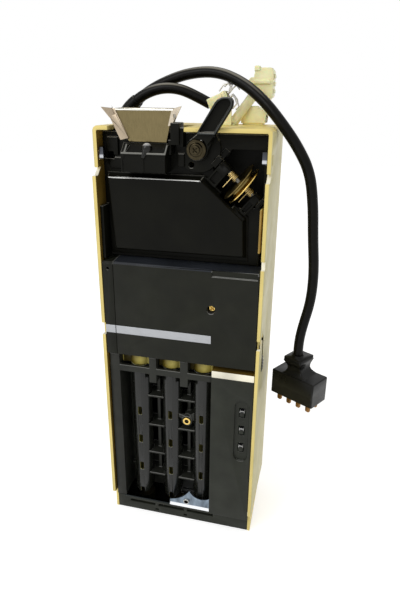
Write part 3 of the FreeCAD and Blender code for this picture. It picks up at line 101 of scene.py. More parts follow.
# Routes of the two leads in metres, from the strain relief to the far end.
POWER_ROUTE = (
    (-0.0630, 0.0230, 0.3700), (-0.0560, 0.0230, 0.3806), (-0.0450, 0.0221, 0.3896),
    (-0.0282, 0.0205, 0.3978), (-0.0060, 0.0179, 0.4046), (0.0180, 0.0135, 0.4054),
    (0.0395, 0.0065, 0.3972), (0.0568, -0.0005, 0.3846), (0.0712, -0.0059, 0.3696),
    (0.0844, -0.0065, 0.3530), (0.0952, -0.0050, 0.3340), (0.0996, -0.0035, 0.3090),
    (0.1018, -0.0023, 0.2820), (0.1050, -0.0015, 0.2540), (0.1046, -0.0015, 0.2280),
    (0.0996, -0.0015, 0.2040), (0.0976, -0.0015, 0.1880), (0.0979, -0.0015, 0.1766))
ACCESSORY_ROUTE = (
    (-0.0622, 0.0121, 0.3700), (-0.0542, 0.0122, 0.3806), (-0.0432, 0.0124, 0.3884),
    (-0.0300, 0.0125, 0.3930), (-0.0160, 0.0125, 0.3933), (-0.0027, 0.0125, 0.3892),
    (0.0126, 0.0125, 0.3816))

# Middle of the gate's shaft, which slopes down to the right. The wheel hangs a little out of
# line with it.
HINGE = mm(45.8, 15, 325.9)
SHAFT_TILT = math.radians(41)
WHEEL_AXIS = Vector((0.743244, 0.173648, -0.646092))
GATE_SPRING_STARTS = (-0.0118, 0.0044)      # along the shaft, from the hinge
GATE_SPRING = {"radius": 0.0031, "length": 0.007, "turns": 7.5, "wire": 0.00036,
               "leg": ((-0.0031, 0, 0.0035), (-0.0056, -0.01, 0.0035))}

# Windings of the solenoids, and the three coin tubes, each with a payout solenoid behind it.
WINDING = {"length": 0.0182, "turns": 30, "wire": 0.0003}
GATE_WINDING_START = mm(6.4, 40, 273.4)
TUBES_X = (-39.6, -10.4, 18.8)
TUBE_MIDDLES = [mm(x, 16, 0) for x in TUBES_X]
PAYOUT_WINDING_STARTS = [mm(x, 46.4, 12.6) for x in TUBES_X]

CAMERA_PLACE = (0.11191, -0.41521, 0.38650)
CAMERA_TURN = (0.243944, -0.373716, -0.009408)      # yaw, pitch and roll, in radians
CAMERA_LENS = 31.014
CAMERA_SENSOR = 36.0


# ---- node helpers -------------------------------------------------------------------------
def new_finish(name):
    """A new material, its tree, its shader and its object coordinates."""
    material = bpy.data.materials.new(name)
    material.use_nodes = True
    tree = material.node_tree
    place = tree.nodes.new("ShaderNodeTexCoord").outputs["Object"]
    return material, tree, tree.nodes["Principled BSDF"], place


def feed(tree, value, socket):
    """Links an output to a socket, or sets the socket to a plain value."""
    if isinstance(value, bpy.types.NodeSocket):
        tree.links.new(value, socket)
    else:
        socket.default_value = value


def computed(tree, operation, *values):
    """A Math node's result from outputs or numbers."""
    node = tree.nodes.new("ShaderNodeMath")
    node.operation = operation
    for value, socket in zip(values, node.inputs):
        feed(tree, value, socket)
    return node.outputs[0]


def stretched(tree, place, scale):
    """Coordinates scaled along each axis."""
    node = tree.nodes.new("ShaderNodeMapping")
    node.inputs["Scale"].default_value = scale
    tree.links.new(place, node.inputs["Vector"])
    return node.outputs["Vector"]


def noise(tree, place, scale, detail=3.0, rough=0.5):
    """A noise around 0.5."""
    node = tree.nodes.new("ShaderNodeTexNoise")
    node.inputs["Scale"].default_value = scale
    node.inputs["Detail"].default_value = detail
    node.inputs["Roughness"].default_value = rough
    tree.links.new(place, node.inputs["Vector"])
    return node.outputs["Fac"]


def ramp(tree, factor, stops):
    """Colours along a factor, from pairs of a position and a colour."""
    node = tree.nodes.new("ShaderNodeValToRGB")
    elements = node.color_ramp.elements
    while len(elements) < len(stops):
        elements.new(0.5)
    for element, (position, colour) in zip(elements, stops):
        element.position = position
        element.color = colour
    tree.links.new(factor, node.inputs["Fac"])
    return node.outputs["Color"]


def mottled(tree, factor, colour, darkest, lightest, start=0.3, end=0.7):
    """A colour that goes from its darkest to its lightest shade with a factor."""
    return ramp(tree, factor, [(start, shade(colour, darkest)), (end, shade(colour, lightest))])


def spread(tree, factor, low, high, start=0.3, end=0.7):
    """A value from low to high while the factor goes from start to end."""
    node = tree.nodes.new("ShaderNodeMapRange")
    for socket, value in (("From Min", start), ("From Max", end), ("To Min", low),
                          ("To Max", high)):
        node.inputs[socket].default_value = value
    tree.links.new(factor, node.inputs["Value"])
    return node.outputs["Result"]


def facing(tree, towards, start, end):
    """From 0 to 1 as a surface turns towards a direction."""
    match = tree.nodes.new("ShaderNodeVectorMath")
    match.operation = "DOT_PRODUCT"
    match.inputs[1].default_value = towards
    tree.links.new(tree.nodes.new("ShaderNodeTexCoord").outputs["Normal"], match.inputs[0])
    return spread(tree, match.outputs["Value"], 0.0, 1.0, start, end)


def coordinate(tree, place, axis):
    """One axis of the coordinates."""
    split = tree.nodes.new("ShaderNodeSeparateXYZ")
    tree.links.new(place, split.inputs["Vector"])
    return split.outputs[axis]


def along(tree, place, axis, start, end):
    """From 0 to 1 between two places on an axis."""
    return spread(tree, coordinate(tree, place, axis), 0.0, 1.0, start, end)


def relief(tree, surface, height, strength, rise, edge=0.0):
    """Bump from a height, on edges rounded in shading by the given radius."""
    node = tree.nodes.new("ShaderNodeBump")
    node.inputs["Strength"].default_value = strength
    node.inputs["Distance"].default_value = rise
    tree.links.new(height, node.inputs["Height"])
    if edge:
        rounding = tree.nodes.new("ShaderNodeBevel")
        rounding.samples = 6
        rounding.inputs["Radius"].default_value = edge
        tree.links.new(rounding.outputs["Normal"], node.inputs["Normal"])
    tree.links.new(node.outputs["Normal"], surface.inputs["Normal"])


def mixed(tree, factor, first, second):
    """A colour between two outputs or plain colours."""
    node = tree.nodes.new("ShaderNodeMix")
    node.data_type = "RGBA"
    tree.links.new(factor, node.inputs["Factor"])
    first_colour, second_colour, blend = node.inputs[6], node.inputs[7], node.outputs[2]
    feed(tree, first, first_colour)
    feed(tree, second, second_colour)
    return blend


def seen_by(tree, *rays):
    """1 for these kinds of ray and 0 for the others."""
    path = tree.nodes.new("ShaderNodeLightPath")
    seen = path.outputs[rays[0]]
    for ray in rays[1:]:
        seen = computed(tree, "MAXIMUM", seen, path.outputs[ray])
    return seen


def surfaced(tree, surface, **values):
    """Sets the shader's colour, roughness, gloss or metallic, each an output or a number."""
    sockets = {"colour": "Base Color", "roughness": "Roughness", "gloss": "Specular IOR Level",
               "metallic": "Metallic"}
    for key, value in values.items():
        feed(tree, value, surface.inputs[sockets[key]])


# ---- finishes -----------------------------------------------------------------------------
OUTER_WALL = (0.0680, 0.0689)       # where the housing's side walls turn to their outside
ZINC_BEND = (0.0202, 0.0192)        # from the zinc plate's face down to its lower bend, which takes a painted highlight
ZINC_STRIP = (-0.0104, -0.0112)     # from the zinc plate to its long strip on the left
BAY = (-0.0542, -0.0250)            # the first coin chute's bay, which repeats to the right
MOUTH_RIM = (0.3463, 0.3465)        # up to the rim of the chute's mouth
MOUTH_LIP = (depth(1.2), depth(1.0))
LATCH_HIGHLIGHT = (0.341, 0.3494)      # heights between which the side latches' painted highlight changes


def cream_plastic(name, look):
    """Yellowed cream moulding, warm on the front edges, with the outside of the side walls
    greyer as a painted reflection.
    """
    material, tree, surface, place = new_finish(name)
    blotch = noise(tree, place, 28, 4)
    lip = mottled(tree, blotch, look.cream, 0.86, 1.08)
    # Greyer cream outside the side walls is a painted reflection.
    side = mottled(tree, blotch, look.reflection_greyed_side, 0.9, 1.06)
    outward = computed(tree, "ABSOLUTE", coordinate(tree, place, "X"))
    surfaced(tree, surface, gloss=0.35,
             colour=mixed(tree, spread(tree, outward, 0.0, 1.0, *OUTER_WALL), lip, side),
             roughness=spread(tree, noise(tree, place, 90, 3), 0.36, 0.5))
    relief(tree, surface, noise(tree, place, 1400, 2), strength=0.12, rise=0.0002, edge=0.0005)
    return material


def moulded_plastic(name, colour, roughness, gloss, grain=1800, texture=0.2, edge=0.0004,
                    top_highlight=None):
    """Moulded plastic with a fine grain, a little uneven sheen and, if given, a painted highlight
    on what faces up.
    """
    material, tree, surface, place = new_finish(name)
    tone = mottled(tree, noise(tree, place, 45, 5), colour, 0.75, 1.3)
    # A colour given for the top paints a highlight on what faces up.
    if top_highlight:
        tone = mixed(tree, facing(tree, (0, 0, 1), 0.5, 1.0), tone, top_highlight)
    sheen = spread(tree, noise(tree, place, 70, 4), roughness - 0.05, roughness + 0.08)
    surfaced(tree, surface, colour=tone, roughness=sheen, gloss=gloss)
    relief(tree, surface, noise(tree, place, grain, 2), strength=texture, rise=0.0002, edge=edge)
    return material


def bare_metal(name, colour, roughness, brushed=(1, 1, 1), grain=500, tone=0.12, edge=0.0003):
    """Metal with tone that varies along its brushing."""
    material, tree, surface, place = new_finish(name)
    lines = noise(tree, stretched(tree, place, brushed), grain, 4, 0.6)
    sheen = spread(tree, noise(tree, place, 130, 3), roughness - 0.06, roughness + 0.1)
    surfaced(tree, surface, colour=mottled(tree, lines, colour, 1 - tone, 1 + tone),
             roughness=sheen, metallic=1.0)
    relief(tree, surface, lines, strength=0.15, rise=0.0001, edge=edge)
    return material


def nylon(name, look):
    """Aged natural nylon of the connectors, slightly translucent."""
    material, tree, surface, place = new_finish(name)
    surfaced(tree, surface,
             colour=mottled(tree, noise(tree, place, 120, 4), look.nylon, 0.85, 1.08),
             roughness=spread(tree, noise(tree, place, 260, 3), 0.3, 0.45))
    surface.inputs["Subsurface Weight"].default_value = 0.25
    surface.inputs["Subsurface Scale"].default_value = 0.002
    relief(tree, surface, noise(tree, place, 900, 2), strength=0.1, rise=0.0002, edge=0.0004)
    return material


def zinc_plate(name, look):
    """Bright zinc: cloudy and bluish, with a white painted highlight along its lower bend, and
    dark on the long strip.
    """
    material, tree, surface, place = new_finish(name)
    cloud = mottled(tree, noise(tree, stretched(tree, place, (1, 1, 0.4)), 110, 3), look.zinc,
                    0.5, 1.5, 0.36, 0.64)
    # White along the lower bend is a painted highlight.
    face = mixed(tree, along(tree, place, "Z", *ZINC_BEND), cloud, srgb(250, 252, 255))
    tone = mixed(tree, along(tree, place, "X", *ZINC_STRIP), face, srgb(34, 38, 38))
    surfaced(tree, surface, colour=tone, roughness=0.24, metallic=1.0)
    relief(tree, surface, noise(tree, place, 420, 3), strength=0.1, rise=0.0001, edge=0.0003)
    return material


def chute_cream(name, look):
    """Cream of the chutes in painted shade, darker towards the left of each bay."""
    material, tree, surface, place = new_finish(name)
    left, right = BAY
    bay = computed(tree, "WRAP", coordinate(tree, place, "X"), right, left)
    lit, dark = shade(look.chute_lit), shade(look.chute_dark)
    tone = ramp(tree, spread(tree, bay, 0.0, 1.0, left, right),
                [(0.24, shade(dark, 0.25)), (0.36, dark), (0.6, lit), (0.8, lit),
                 (0.95, shade(lit, 1.2))])
    surfaced(tree, surface, colour=tone, roughness=0.4, gloss=0.3)
    relief(tree, surface, noise(tree, place, 1200, 2), strength=0.1, rise=0.0002, edge=0.0004)
    return material


def socket_black(name, look):
    """Black of the chute's mouth, with a painted highlight along its front lip."""
    material, tree, surface, place = new_finish(name)
    # The front lip's paler grey is a painted highlight.
    lip = computed(tree, "MULTIPLY", along(tree, place, "Z", *MOUTH_RIM),
                   along(tree, place, "Y", *MOUTH_LIP))
    surfaced(tree, surface, colour=mixed(tree, lip, shade(look.upper), srgb(124, 124, 118)),
             roughness=0.42, gloss=0.1)
    relief(tree, surface, noise(tree, place, 1800, 2), strength=0.2, rise=0.0002, edge=0.0004)
    return material


def latch_metal(name):
    """Dark steel of the side latches, with a painted highlight near the lower end."""
    material, tree, surface, place = new_finish(name)
    tone = ramp(tree, along(tree, place, "Z", *LATCH_HIGHLIGHT),
                [(0.1, srgb(70, 72, 76)), (0.16, srgb(196, 198, 202)),
                 (0.36, srgb(190, 192, 197)), (0.46, srgb(84, 86, 92)),
                 (1.0, srgb(64, 66, 70))])
    surfaced(tree, surface, colour=tone, roughness=0.35, metallic=1.0)
    relief(tree, surface, noise(tree, place, 600, 3), strength=0.1, rise=0.0001, edge=0.0003)
    return material


def jacket(name, look):
    """Black cord jacket with faint scuffs and a painted highlight along its top."""
    material, tree, surface, place = new_finish(name)
    scuffed = mottled(tree, noise(tree, place, 160, 5, 0.65), look.jacket, 0.7, 1.7, 0.35, 0.75)
    # A pale band on what faces up and forward is a painted highlight.
    top_highlight_mask = facing(tree, (0, -0.6, 0.8), 0.93, 1.0)
    surfaced(tree, surface, colour=mixed(tree, top_highlight_mask, scuffed, srgb(136, 132, 120)), gloss=0.1,
             roughness=spread(tree, noise(tree, place, 220, 4), 0.26, 0.36))
    relief(tree, surface, noise(tree, place, 1200, 3), strength=0.15, rise=0.0002, edge=0.0003)
    return material


COARSE = {"grain": 2400, "texture": 0.3}             # surface of the covers and the panel
UPRIGHT = {"brushed": (8, 1, 1), "grain": 300}       # brushing of the funnel's sheet

# Each finish by its name, from that name and the settings. After the colour comes the
# roughness, and in a plastic its gloss.
FINISHES = {
    "upper_black": lambda n, s: moulded_plastic(n, s.blacks.upper, 0.42, 0.09),
    "socket_black": lambda n, s: socket_black(n, s.blacks),
    "cover_black": lambda n, s: moulded_plastic(n, s.blacks.cover, 0.5, 0.16, **COARSE),
    "cassette_black": lambda n, s: moulded_plastic(n, s.blacks.cassette, 0.4, 0.2),
    "panel_black": lambda n, s: moulded_plastic(n, s.blacks.panel, 0.5, 0.2, **COARSE),
    "tube_black": lambda n, s: moulded_plastic(n, s.blacks.tube, 0.22, 0.4, grain=600,
                                               texture=0.05),
    # Black of the board's parts, and painted shade on the buttons' tops.
    "component_black": lambda n, s: moulded_plastic(n, (0.02, 0.02, 0.022), 0.5, 0.3),
    # Paler finishes for up-facing bevels and for the gate's top bevel: painted highlights.
    "upper_edge": lambda n, s: moulded_plastic(n, s.blacks.acceptor_edge_highlight, 0.3, 0.5, edge=0),
    "lit_edge": lambda n, s: moulded_plastic(n, s.blacks.lit, 0.35, 0.5, edge=0),
    "cover_edge": lambda n, s: moulded_plastic(n, s.blacks.worn, 0.35, 0.4, edge=0),
    "cap_top": lambda n, s: moulded_plastic(n, s.blacks.caps, 0.3, 0.5, edge=0),
    "plug_black": lambda n, s: moulded_plastic(n, s.blacks.plug, 0.3, 0.16),
    "lever_rim": lambda n, s: moulded_plastic(n, s.blacks.rim, 0.36, 0.3),
    # Painted highlight on the top of the chute's pin.
    "pin_black": lambda n, s: moulded_plastic(n, s.blacks.upper, 0.25, 0.3,
                                              top_highlight=srgb(222, 222, 220)),
    "cover_roof": lambda n, s: moulded_plastic(n, s.blacks.roof, 0.4, 0.2, **COARSE),
    "tube_inside": lambda n, s: moulded_plastic(n, s.plastics.tube_inside, 0.5, 0.2),
    # Cream in painted shade, in painted light, in painted shade inside the base and on the rib,
    # and across the chutes.
    "shaded_cream": lambda n, s: moulded_plastic(n, s.plastics.shaded, 0.5, 0.15),
    "lit_cream": lambda n, s: moulded_plastic(n, s.plastics.bright, 0.35, 0.4),
    "base_inside": lambda n, s: moulded_plastic(n, s.plastics.base_inside, 0.6, 0.05),
    "rib_cream": lambda n, s: moulded_plastic(n, s.plastics.rib, 0.5, 0.15),
    "chute_cream": lambda n, s: chute_cream(n, s.plastics),
    "latch_metal": lambda n, s: latch_metal(n),
    "yellowed_cream": lambda n, s: cream_plastic(n, s.plastics),
    "aged_nylon": lambda n, s: nylon(n, s.plastics),
    "lead_rubber": lambda n, s: jacket(n, s.plastics),
    "green_board": lambda n, s: moulded_plastic(n, (0.02, 0.12, 0.05), 0.35, 0.4, grain=300),
    "silver_foil": lambda n, s: bare_metal(n, s.metals.foil, 0.42, brushed=(1, 1, 12),
                                           grain=260, tone=0.06),
    "zinc": lambda n, s: zinc_plate(n, s.metals),
    "funnel_sheet": lambda n, s: bare_metal(n, s.metals.funnel, 0.3, **UPRIGHT),
    # Lighter copies of the funnel's sheet: painted reflection on the wings and flange, a painted
    # highlight on the hem.
    "funnel_wing": lambda n, s: bare_metal(n, s.metals.wing, 0.25, **UPRIGHT),
    "funnel_flange": lambda n, s: bare_metal(n, s.metals.flange, 0.3, **UPRIGHT),
    "funnel_hem": lambda n, s: bare_metal(n, (1.0, 0.97, 0.88), 0.4, **UPRIGHT),
    "bright_steel": lambda n, s: bare_metal(n, s.metals.steel, 0.25),
    "worn_steel": lambda n, s: bare_metal(n, s.metals.shaft, 0.3, tone=0.3),
    "olive_brass": lambda n, s: bare_metal(n, s.metals.olive, 0.32, grain=200, tone=0.3),
    # Brass of the screws, and the painted highlight on the wheel's rim.
    "bright_brass": lambda n, s: bare_metal(n, s.metals.brass, 0.2, grain=900),
    "gold_wire": lambda n, s: bare_metal(n, s.metals.wire, 0.28),
    "blade_bronze": lambda n, s: bare_metal(n, s.metals.blade, 0.3, tone=0.25),
    # Bronze of the lever screw and washer, and painted shade in the cassette screw's hole.
    "dark_bronze": lambda n, s: bare_metal(n, s.metals.bronze, 0.3, tone=0.25),
    "copper_wire": lambda n, s: bare_metal(n, (0.75, 0.32, 0.14), 0.3, brushed=(1, 1, 30),
                                           grain=300),
    "plated_frame": lambda n, s: bare_metal(n, (0.5, 0.48, 0.42), 0.35, grain=200),
}


def finish(name):
    """A finish by its name, made when it is first used."""
    made = bpy.data.materials.get(name)
    return made or FINISHES[name](name, bpy.context.scene.coin_changer)


def coat(piece, material):
    """Gives a whole piece one finish."""
    piece.data.materials.clear()
    piece.data.materials.append(finish(material))


# ---- mesh helpers -------------------------------------------------------------------------
MERGED_WITHIN = 2e-6                    # metres
FLAT_WITHIN = math.radians(0.5)         # between faces that become one
SHARP_FROM = math.radians(32)           # between faces whose edge is rounded


def show(name, data, body, slot, *stands_for):
    """Links a finished piece, lets it ride on its body and hides the parts it stands for."""
    piece = bpy.data.objects.new(name, data)
    bpy.context.scene.collection.objects.link(piece)
    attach(piece, body)
    if stands_for:
        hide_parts(*stands_for)
    return piece


def merged_copy(node, names, pick):
    """A CAD node's mesh with whole faces and its finishes, which pick names face by face."""
    work = bmesh.new()
    work.from_mesh(frame["nodes"][node].data)
    bmesh.ops.remove_doubles(work, verts=work.verts, dist=MERGED_WITHIN)
    bmesh.ops.dissolve_limit(work, angle_limit=FLAT_WITHIN, verts=work.verts, edges=work.edges)
    work.normal_update()
    for face in work.faces:
        face.smooth = True
        if pick:
            face.material_index = names.index(pick(face.calc_center_median(), face.normal))
    data = bpy.data.meshes.new(node + "_piece")
    work.to_mesh(data)
    work.free()
    for name in names:
        data.materials.append(finish(name))
    return data


def round_edges(piece, width, segments, rise):
    """Bevels a piece. Edges that face up more than rise take the last of its finishes, on most
    pieces a paler edge finish as a painted highlight of the light from above.
    """
    last = len(piece.data.materials) - 1
    edges = piece.modifiers.new("edges", "BEVEL")
    edges.width = width
    edges.segments = segments
    edges.limit_method = "ANGLE"
    edges.angle_limit = SHARP_FROM
    edges.use_clamp_overlap = False
    edges.harden_normals = True
    edges.material = last if rise else -1
    graph = bpy.context.evaluated_depsgraph_get()
    baked = bpy.data.meshes.new_from_object(piece.evaluated_get(graph))
    piece.modifiers.clear()
    piece.data = baked
    # Paler edge finishes on the up-facing bevels are a painted highlight of the light from above.
    for face in baked.polygons:
        if rise and face.material_index == last and face.normal.z < rise:
            face.material_index = 0


def dressed(node, width, *names, segments=2, rise=0.3, pick=None):
    """Shows a CAD node's copy with rounded edges and its finishes. Edges that face up more than
    rise take the last finish, on most pieces a paler edge as a painted highlight, and without
    a rise all edges keep their faces' own. Pick gives a finish's name from a face's centre and
    normal."""
    data = merged_copy(node, names, pick)
    piece = show(node + "_piece", data, frame["nodes"][node]["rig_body"], SLOTS[node], node)
    if width:
        round_edges(piece, width, segments, rise)
    return piece


def wound_wire():
    """Node group: a round wire wound along Z, with a straight leg."""
    group = bpy.data.node_groups.new("wound_wire", "GeometryNodeTree")
    sockets, nodes = group.interface, group.nodes
    sockets.new_socket("Geometry", in_out="OUTPUT", socket_type="NodeSocketGeometry")
    for label, kind in (("Radius", "Float"), ("Length", "Float"), ("Turns", "Float"),
                        ("Wire", "Float"), ("Leg Start", "Vector"), ("Leg End", "Vector"),
                        ("Finish", "Material")):
        sockets.new_socket(label, in_out="INPUT", socket_type="NodeSocket" + kind)
    values = nodes.new("NodeGroupInput").outputs

    def link(source, node, label):
        group.links.new(source, node.inputs[label])

    winding = nodes.new("GeometryNodeCurveSpiral")
    winding.inputs["Resolution"].default_value = 20
    for label in ("Start Radius", "End Radius"):
        link(values["Radius"], winding, label)
    link(values["Turns"], winding, "Rotations")
    link(values["Length"], winding, "Height")
    leg = nodes.new("GeometryNodeCurvePrimitiveLine")
    link(values["Leg Start"], leg, "Start")
    link(values["Leg End"], leg, "End")
    both = nodes.new("GeometryNodeJoinGeometry")
    link(winding.outputs["Curve"], both, "Geometry")
    link(leg.outputs["Curve"], both, "Geometry")
    section = nodes.new("GeometryNodeCurvePrimitiveCircle")
    section.inputs["Resolution"].default_value = 10
    link(values["Wire"], section, "Radius")
    body = nodes.new("GeometryNodeCurveToMesh")
    body.inputs["Fill Caps"].default_value = True
    link(both.outputs["Geometry"], body, "Curve")
    link(section.outputs["Curve"], body, "Profile Curve")
    solid = nodes.new("GeometryNodeRealizeInstances")
    link(body.outputs["Mesh"], solid, "Geometry")
    painted = nodes.new("GeometryNodeSetMaterial")
    link(solid.outputs["Geometry"], painted, "Geometry")
    link(values["Finish"], painted, "Material")
    link(painted.outputs["Geometry"], nodes.new("NodeGroupOutput"), "Geometry")
    return group


def wound(name, material, matrix, radius, length, turns, wire, leg=None):
    """A plain mesh of one winding, set in place by the matrix. A leg is its two ends."""
    group = bpy.data.node_groups.get("wound_wire") or wound_wire()
    holder = bpy.data.objects.new(name, bpy.data.meshes.new(name))
    bpy.context.scene.collection.objects.link(holder)
    maker = holder.modifiers.new("winding", "NODES")
    maker.node_group = group
    start, end = leg or ((radius, 0, 0), (radius, 0, wire))
    given = {"Radius": radius, "Length": length, "Turns": turns, "Wire": wire,
             "Leg Start": start, "Leg End": end, "Finish": finish(material)}
    for socket in group.interface.items_tree:
        if socket.in_out == "INPUT":
            maker[socket.identifier] = given[socket.name]
    graph = bpy.context.evaluated_depsgraph_get()
    data = bpy.data.meshes.new_from_object(holder.evaluated_get(graph))
    bpy.data.objects.remove(holder)
    data.transform(matrix)
    data.polygons.foreach_set("use_smooth", [True] * len(data.polygons))
    return data


def joined(name, meshes):
    """One mesh from several, each with one finish of its own."""
    work = bmesh.new()
    finishes = []
    for number, mesh in enumerate(meshes):
        first = len(work.faces)
        work.from_mesh(mesh)
        work.faces.ensure_lookup_table()
        for face in work.faces[first:]:
            face.material_index = number
        finishes.append(mesh.materials[0])
    data = bpy.data.meshes.new(name)
    work.to_mesh(data)
    work.free()
    for material in finishes:
        data.materials.append(material)
    return data


def lead_curve(name, route, width):
    """A smooth round lead whose control points are the route."""
    curve = bpy.data.curves.new(name, "CURVE")
    curve.dimensions = "3D"
    spline = curve.splines.new("NURBS")
    spline.points.add(len(route) - 1)
    for point, place in zip(spline.points, route):
        point.co = (*place, 1.0)
        point.radius = width / 2
    spline.order_u = 3
    spline.use_endpoint_u = True
    spline.resolution_u = 10
    curve.bevel_depth = 1.0
    curve.bevel_resolution = 6
    curve.use_fill_caps = True
    return curve


# ---- which finish a face takes ------------------------------------------------------------
# Least part of a normal along an axis, for a face that looks straight, nearly or partly that way.
STRAIGHT, NEARLY, PARTLY = 0.8, 0.6, 0.4

# Places in metres, with x from the middle and z from the underside.
WALL = 0.06                                 # the housing's side walls are further out
WALL_FRONT = depth(1)                       # just behind the walls' front edges
NOTCHES_BACK = depth(11)                    # back of the notches in the walls' edges
BELOW_TOP = 0.36                            # leaves out the housing's top, at 0.366
LATCH_SLOT = ((0.0605, 0.0689), (depth(13.9), depth(20.5)), (0.1679, 0.2011))
RIB_X, RIB_Z = (0.0621, 0.0639), (0.2751, 0.3085)
NOTCH_HIGHLIGHT_Z = (0.2633, 0.2703)
CHEEKS = 0.066                              # the base's cheeks are further out
OUTWARD = 0.01                              # least x of a cheek's face times its normal's x
TRAY_LIP = 0.008                            # top of the lit front of the base's tray
CHUTES_END = 0.0287                         # right end of the coin chutes, where the rail starts
GATE_BEVEL_END, GATE_BEVEL_FOOT = 0.016, 0.325
GATE_BEVEL_UP, GATE_BEVEL_FORWARD = 0.25, 0.5       # least parts of the bevel's normal
LEVER_RIM = depth(-0.3)                     # the lever's rim stands in front of it
FLANGE_END, FLANGE_BACK = -0.0395, depth(7.6)
FUNNEL_FRONT = (-0.0515, -0.0065)           # the funnel's front between its wings
HEM_FOOT = 0.3765
WHEEL_RIM, WHEEL_FACE = 0.0125, 0.0010      # least radius, and least way along the axis
BOARD_FACE = depth(14.5)                    # the control board's parts start behind it
BOARD_SIDES, BOARD_TOP = 0.0515, 0.2445     # its plated parts lie beyond these
SCREW = mm(5.0, 0, 111.6)                   # the cassette screw's axis
SCREW_HOLE = 0.0021
HOLE_FLOOR, HOLE_END = depth(8.6), depth(9.8)


def housing_finish(centre, normal):
    """Cream, with painted shade in the latch slot, on the rib and on the left wall's inside, and
    painted light on the notches.
    """
    x, y, z = centre
    if all(between(value, limits) for value, limits in zip(centre, LATCH_SLOT)):
        return "base_inside"
    if between(x, RIB_X) and between(z, RIB_Z):
        return "rib_cream"
    if x > WALL and between(z, NOTCH_HIGHLIGHT_Z) and normal.y < -STRAIGHT:
        return "lit_cream"
    if x < -WALL and y > WALL_FRONT and normal.x > STRAIGHT:
        return "shaded_cream"
    if abs(x) > WALL and y < NOTCHES_BACK and z < BELOW_TOP and normal.z > PARTLY:
        return "lit_cream"
    return "yellowed_cream"


def base_finish(centre, normal):
    """Cream outside, and painted shade inside, lighter along the front of the tray."""
    cheek = abs(centre.x) > CHEEKS or normal.x * centre.x > OUTWARD
    if cheek or normal.y > PARTLY or normal.z < -PARTLY:
        return "yellowed_cream"
    return "shaded_cream" if normal.y < -STRAIGHT and centre.z < TRAY_LIP else "base_inside"


def shelf_finish(centre, normal):
    """Chutes in painted shade, then a rail with painted light on its front and painted shade on
    its top.
    """
    if centre.x < CHUTES_END:
        return "chute_cream"
    if normal.y < -STRAIGHT:
        return "lit_cream"
    return "shaded_cream" if normal.z > STRAIGHT else "chute_cream"


def gate_finish(centre, normal):
    """Black, with a painted highlight on the bevel along the left part of the top."""
    bevel = normal.z > GATE_BEVEL_UP and normal.y < -GATE_BEVEL_FORWARD
    lit = bevel and centre.z > GATE_BEVEL_FOOT and centre.x < GATE_BEVEL_END
    return "lit_edge" if lit else "upper_black"


def lever_finish(centre, normal):
    """Black, with a paler raised rim."""
    return "lever_rim" if normal.y < -STRAIGHT and centre.y < LEVER_RIM else "upper_black"


def funnel_finish(centre, normal):
    """Sheet, with a folded flange on the left, wings and a hem along the front, all lighter than
    the sheet: painted reflection on the flange and wings, a painted highlight on the hem.
    """
    if centre.x < FLANGE_END and centre.y < FLANGE_BACK:
        return "funnel_flange"
    if not between(centre.x, FUNNEL_FRONT):
        return "funnel_wing"
    hem = centre.z > HEM_FOOT and (normal.y < -STRAIGHT or normal.z > STRAIGHT)
    return "funnel_hem" if hem else "funnel_sheet"


def wheel_finish(centre, normal):
    """Tarnished, with a painted highlight in bright brass on the rim of the right disc."""
    out = centre - HINGE
    rim = out.length > WHEEL_RIM and out.dot(WHEEL_AXIS) > WHEEL_FACE
    return "bright_brass" if rim else "olive_brass"


def cover_finish(centre, normal):
    """Black, with a greyish painted reflection of the light above on the top."""
    return "cover_roof" if normal.z > NEARLY else "cover_black"


def board_finish(centre, normal):
    """Green in front, with plated parts along its sides and top and black ones between."""
    if centre.y < BOARD_FACE:
        return "green_board"
    plated = abs(centre.x) > BOARD_SIDES or centre.z > BOARD_TOP
    return "plated_frame" if plated else "component_black"


def tube_finish(middle):
    """Black, with an olive inside. A tube's inside looks towards its middle."""
    def pick(centre, normal):
        inside = (centre - middle).xy.dot(normal.xy) < 0
        return "tube_inside" if inside else "tube_black"
    return pick


def screw_finish(centre, normal):
    """Brass, with painted shade in the hole in the middle."""
    out = (centre - SCREW).xz
    hole = out.length < SCREW_HOLE and centre.y < HOLE_END
    dark = hole and (out.dot(normal.xz) < 0 or centre.y > HOLE_FLOOR)
    return "dark_bronze" if dark else "bright_brass"


def button_finish(centre, normal):
    """Panel black, with a top darkened as painted shade."""
    return "component_black" if normal.z > NEARLY else "panel_black"


# ---- settings -----------------------------------------------------------------------------
def colour_setting(name, description, default):
    """A colour that a user can change, from 0 to 255 display values."""
    return FloatVectorProperty(name=name, description=description, subtype="COLOR", size=3,
                               min=0.0, max=1.0, default=srgb(*default)[:3])


